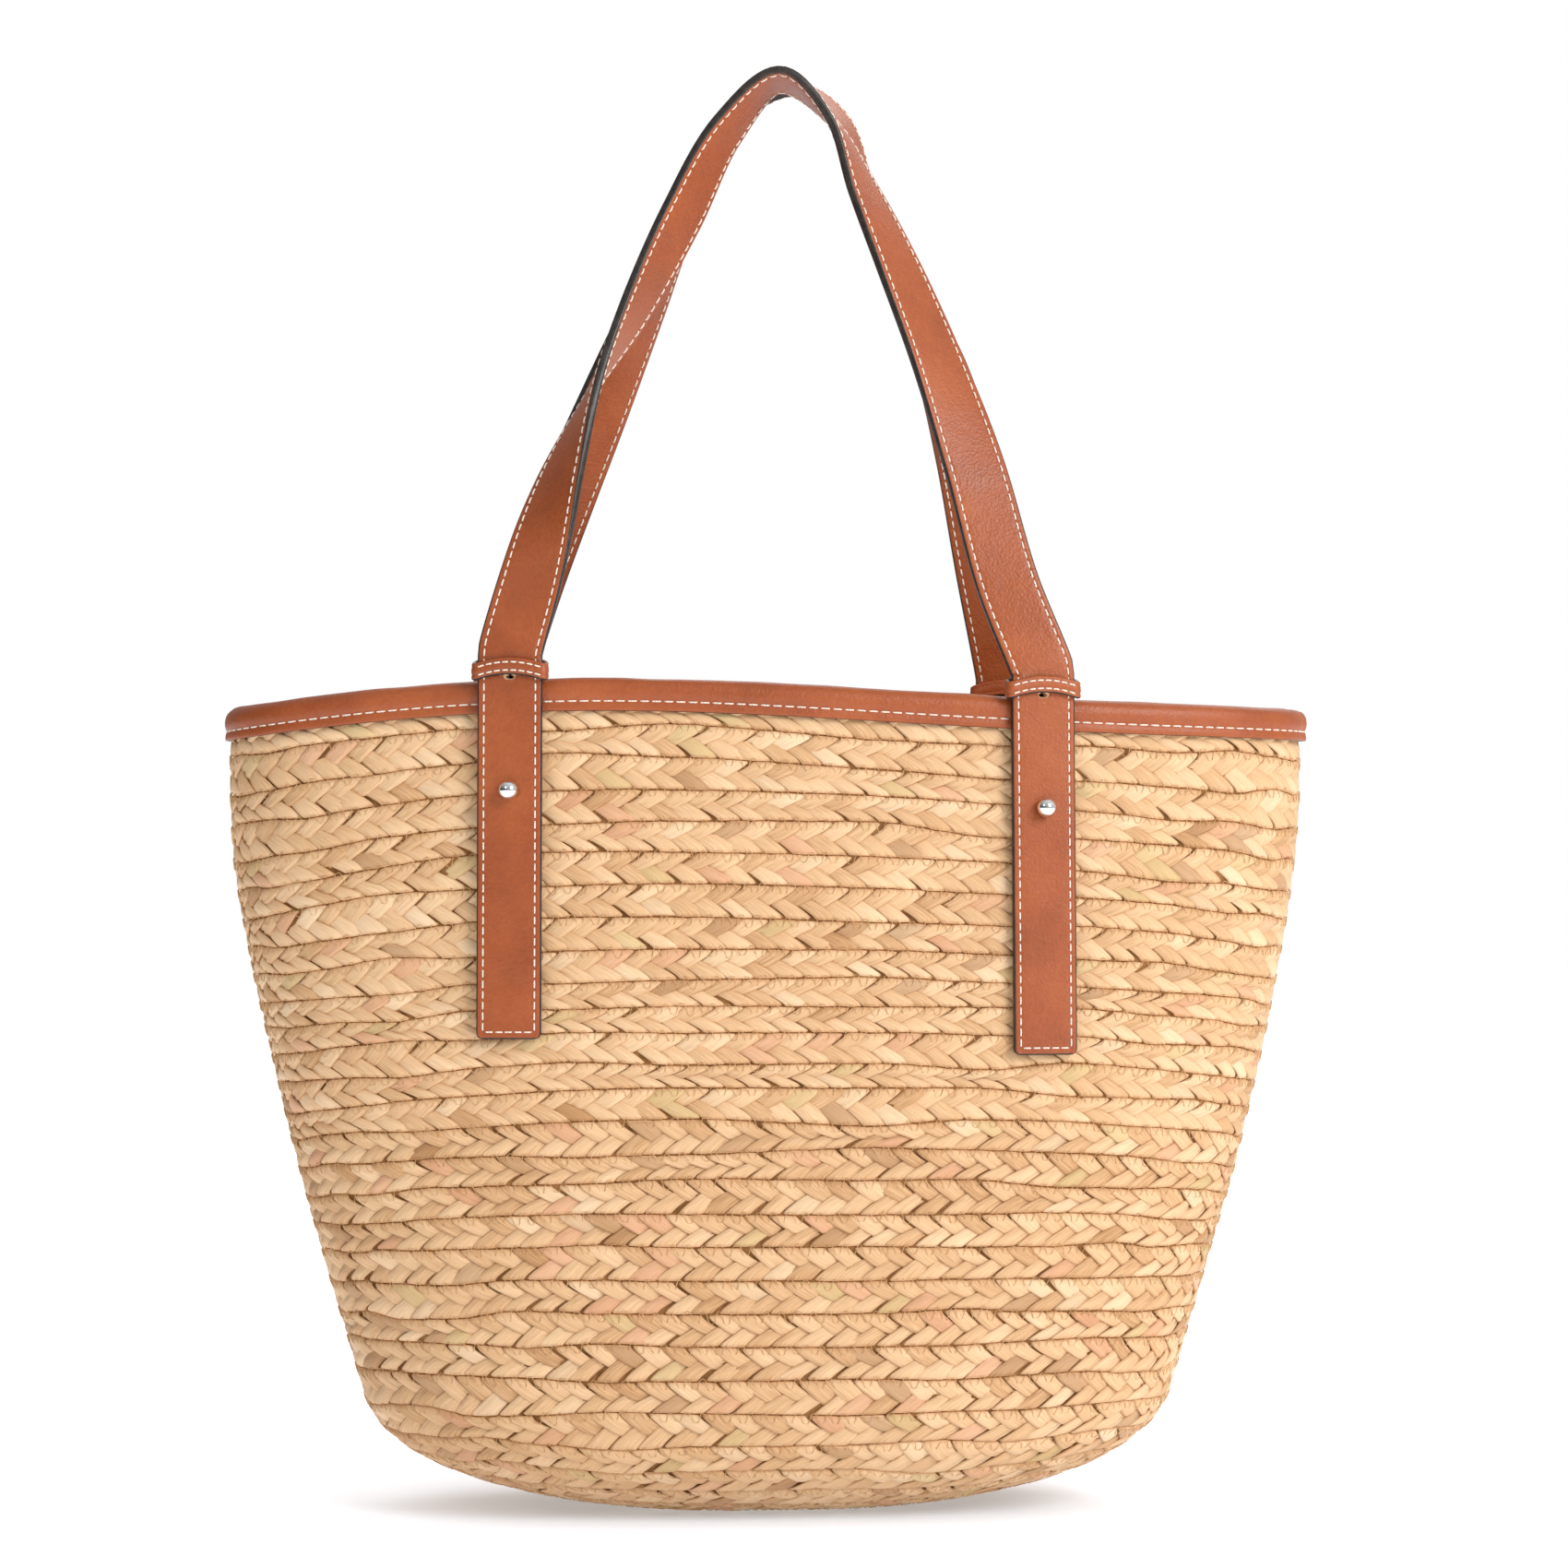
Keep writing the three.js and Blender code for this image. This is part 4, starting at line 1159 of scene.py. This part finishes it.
class Arch:
    """Middle line of one handle with the directions of its width and its face, evenly spaced."""

    def __init__(self, listed, left, right, y_side):
        lift = 1.5              # straight stretch of leather above the keeper
        yaw = math.degrees(math.acos(min(1.0, abs(left.width[0]))))
        ends = [(corner.at(0, PASS_TOP, STRAP_MIDDLE), corner.at(0, PASS_TOP + lift, STRAP_MIDDLE))
                for corner in (left, right)]
        points = [*ends[0], *[p[:3] for p in listed], ends[1][1], ends[1][0]]
        twists = [yaw, yaw, *[p[3] for p in listed], yaw, yaw]
        t = np.linspace(0, 1, 6001)
        line = centripetal(points, t)
        walked = np.concatenate([[0], np.cumsum(np.linalg.norm(np.diff(line, axis=0), axis=1))])
        steps = int(walked[-1] / 2.6)
        self.share = np.linspace(0, walked[-1], steps)
        t = np.interp(self.share, walked, t)
        self.middle = centripetal(points, t)
        step = 1e-4
        ahead, behind = np.minimum(t + step, 1), np.maximum(t - step, 0)
        along = unit(centripetal(points, ahead) - centripetal(points, behind))
        arch = np.stack([-along[:, 2], np.zeros(len(t)), along[:, 0]], -1)
        arch = unit(arch - along * np.sum(arch * along, 1, keepdims=True))
        front = np.cross(along, arch) * -y_side
        twist = np.radians(uniform_spline(twists, t))[:, None]
        self.face = front * np.cos(twist) + arch * np.sin(twist)
        self.width = (front * np.sin(twist) - arch * np.cos(twist)) * -y_side
        self.extend(along)

    def extend(self, along):
        """Carries both legs straight down into their keepers."""
        down = np.array([PASS_TOP - TAIL_START - 0.3, (PASS_TOP - TAIL_START) / 2])[:, None]
        self.middle = np.concatenate([self.middle[:1] - along[:1] * down, self.middle,
                                      self.middle[-1:] + along[-1:] * down[::-1]])
        grow = lambda a: np.concatenate([a[:1], a[:1], a, a[-1:], a[-1:]])
        self.face, self.width = grow(self.face), grow(self.width)
        self.share = np.concatenate([self.share[0] - down[:, 0], self.share, self.share[-1] + down[::-1, 0]])


def arch_leather(name, arch, seed):
    ripple = noise_rows(2, 130, seed)
    total = arch.share[-1]

    def swell(i, w):
        s = arch.share[i]
        from_keeper = np.minimum(s, total - s)
        strength = 0.10 + 0.30 * (1 - smoothstep(from_keeper, 6, 34))
        calm = smoothstep(np.abs(w), STRAP_WIDTH / 2, 3)
        return strength * ripple(0, s / total + w / 1500) * calm * 0.8
    built = Builder()
    ribbon(built, arch.middle, arch.width, arch.face, STRAP_SECTION, None, swell)
    return built.piece(name, LEATHER_SET)


def arch_stitching(name, arch):
    built = Builder()
    level = STRAP_THICK / 2 - 0.2
    for side in (1, -1):
        for edge in (-STITCH_EDGE, STITCH_EDGE):
            path = arch.middle + arch.width * edge + arch.face * side * level
            stitches(built, path, arch.face * side)
    return built.piece(name, [CREAM])


for panel, y_side, listed in (("front", -1, FRONT_ARCH), ("rear", 1, REAR_ARCH)):
    arch = Arch(listed, CORNERS[f"{panel}_left"], CORNERS[f"{panel}_right"], y_side)
    body = f"{panel}_handle"
    hinge = np.array(JOINTS[body]["pos_m"])
    rise = np.cross(JOINTS[body]["axis"], (0, y_side, 0))
    rise = rise / np.linalg.norm(rise) * np.sign(rise[2])
    bend = (tuple(hinge - rise * 0.002), tuple(hinge + rise * 0.016))
    leather = arch_leather(f"{panel}_handle_leather", arch, 60 + y_side)
    bends(leather, body, "leather", bend, body)
    bends(arch_stitching(f"{panel}_handle_stitching", arch), body, "padding_cord", bend)

core = frame["nodes"]["rim_core"]
core.data.materials.clear()
core.data.materials.append(CORD)


# ---- stage, light and camera ----------------------------------------------------------------

FLOOR_Z, FLOOR_HALF = -0.6, 6000.0
LIGHT_AIM = (0, 0, 0.3)


def studio_floor():
    half = FLOOR_HALF
    built = Builder()
    points = [(x, y, FLOOR_Z) for x, y in ((-half, -half), (half, -half), (half, half), (-half, half))]
    built.add(points, [(0, 1, 2, 3)])
    return built.piece("studio_floor", [floor_shader()])


def soft_box(name, place, width, height, power):
    data = bpy.data.lights.new(name, "AREA")
    data.shape = "RECTANGLE"
    data.size, data.size_y, data.energy = width, height, power
    light = bpy.data.objects.new(name, data)
    bpy.context.scene.collection.objects.link(light)
    light.location = place
    towards = Vector(np.array(LIGHT_AIM) - np.array(place))
    light.rotation_euler = towards.to_track_quat("-Z", "Y").to_euler()


studio_floor()
soft_box("soft_box_left", (-1.3, -1.9, 1.6), 0.9, 0.9, 4)
soft_box("soft_box_right", (1.5, -1.9, 1.5), 1.1, 1.1, 42)
soft_box("soft_box_back", (0.5, 1.9, 2.0), 2.0, 1.0, 14)


def studio_world():
    """White behind the bag; the light itself comes mostly from above and from the right."""
    world = bpy.data.worlds.new("studio")
    world.use_nodes = True
    nodes, links = world.node_tree.nodes, world.node_tree.links
    sky = nodes["Background"]
    sky.inputs["Color"].default_value = (1.0, 1.0, 1.0, 1.0)
    backdrop = nodes.new("ShaderNodeBackground")
    backdrop.inputs["Color"].default_value = (1.0, 1.0, 1.0, 1.0)
    backdrop.inputs["Strength"].default_value = 1.0
    towards_light = nodes.new("ShaderNodeVectorMath")
    towards_light.operation = "DOT_PRODUCT"
    towards_light.inputs[1].default_value = (0.58, 0.08, 0.81)
    links.new(nodes.new("ShaderNodeTexCoord").outputs["Generated"], towards_light.inputs[0])
    level = nodes.new("ShaderNodeMapRange")
    for socket, number in ((1, -0.5), (2, 0.9), (3, 0.06), (4, 0.82)):
        level.inputs[socket].default_value = number
    links.new(towards_light.outputs["Value"], level.inputs[0])
    links.new(level.outputs["Result"], sky.inputs["Strength"])
    seen = nodes.new("ShaderNodeLightPath")
    either = nodes.new("ShaderNodeMixShader")
    links.new(seen.outputs["Is Camera Ray"], either.inputs[0])
    links.new(sky.outputs["Background"], either.inputs[1])
    links.new(backdrop.outputs["Background"], either.inputs[2])
    links.new(either.outputs["Shader"], nodes["World Output"].inputs["Surface"])
    bpy.context.scene.world = world


studio_world()
bpy.context.scene.view_settings.view_transform = "Standard"

CAMERA_DISTANCE, CAMERA_HEIGHT, CAMERA_AZIMUTH = 2.2, 0.338, math.radians(-3.5)
CAMERA_ASIDE = 0.0078
camera_data = bpy.data.cameras.new("camera")
camera_data.lens, camera_data.sensor_width = 107.15, 36.0
camera = bpy.data.objects.new("camera", camera_data)
bpy.context.scene.collection.objects.link(camera)
camera.location = (
    CAMERA_DISTANCE * math.sin(CAMERA_AZIMUTH) + CAMERA_ASIDE * math.cos(CAMERA_AZIMUTH),
    -CAMERA_DISTANCE * math.cos(CAMERA_AZIMUTH) + CAMERA_ASIDE * math.sin(CAMERA_AZIMUTH), CAMERA_HEIGHT)
camera.rotation_euler = (math.pi / 2, 0, CAMERA_AZIMUTH)
bpy.context.scene.camera = camera
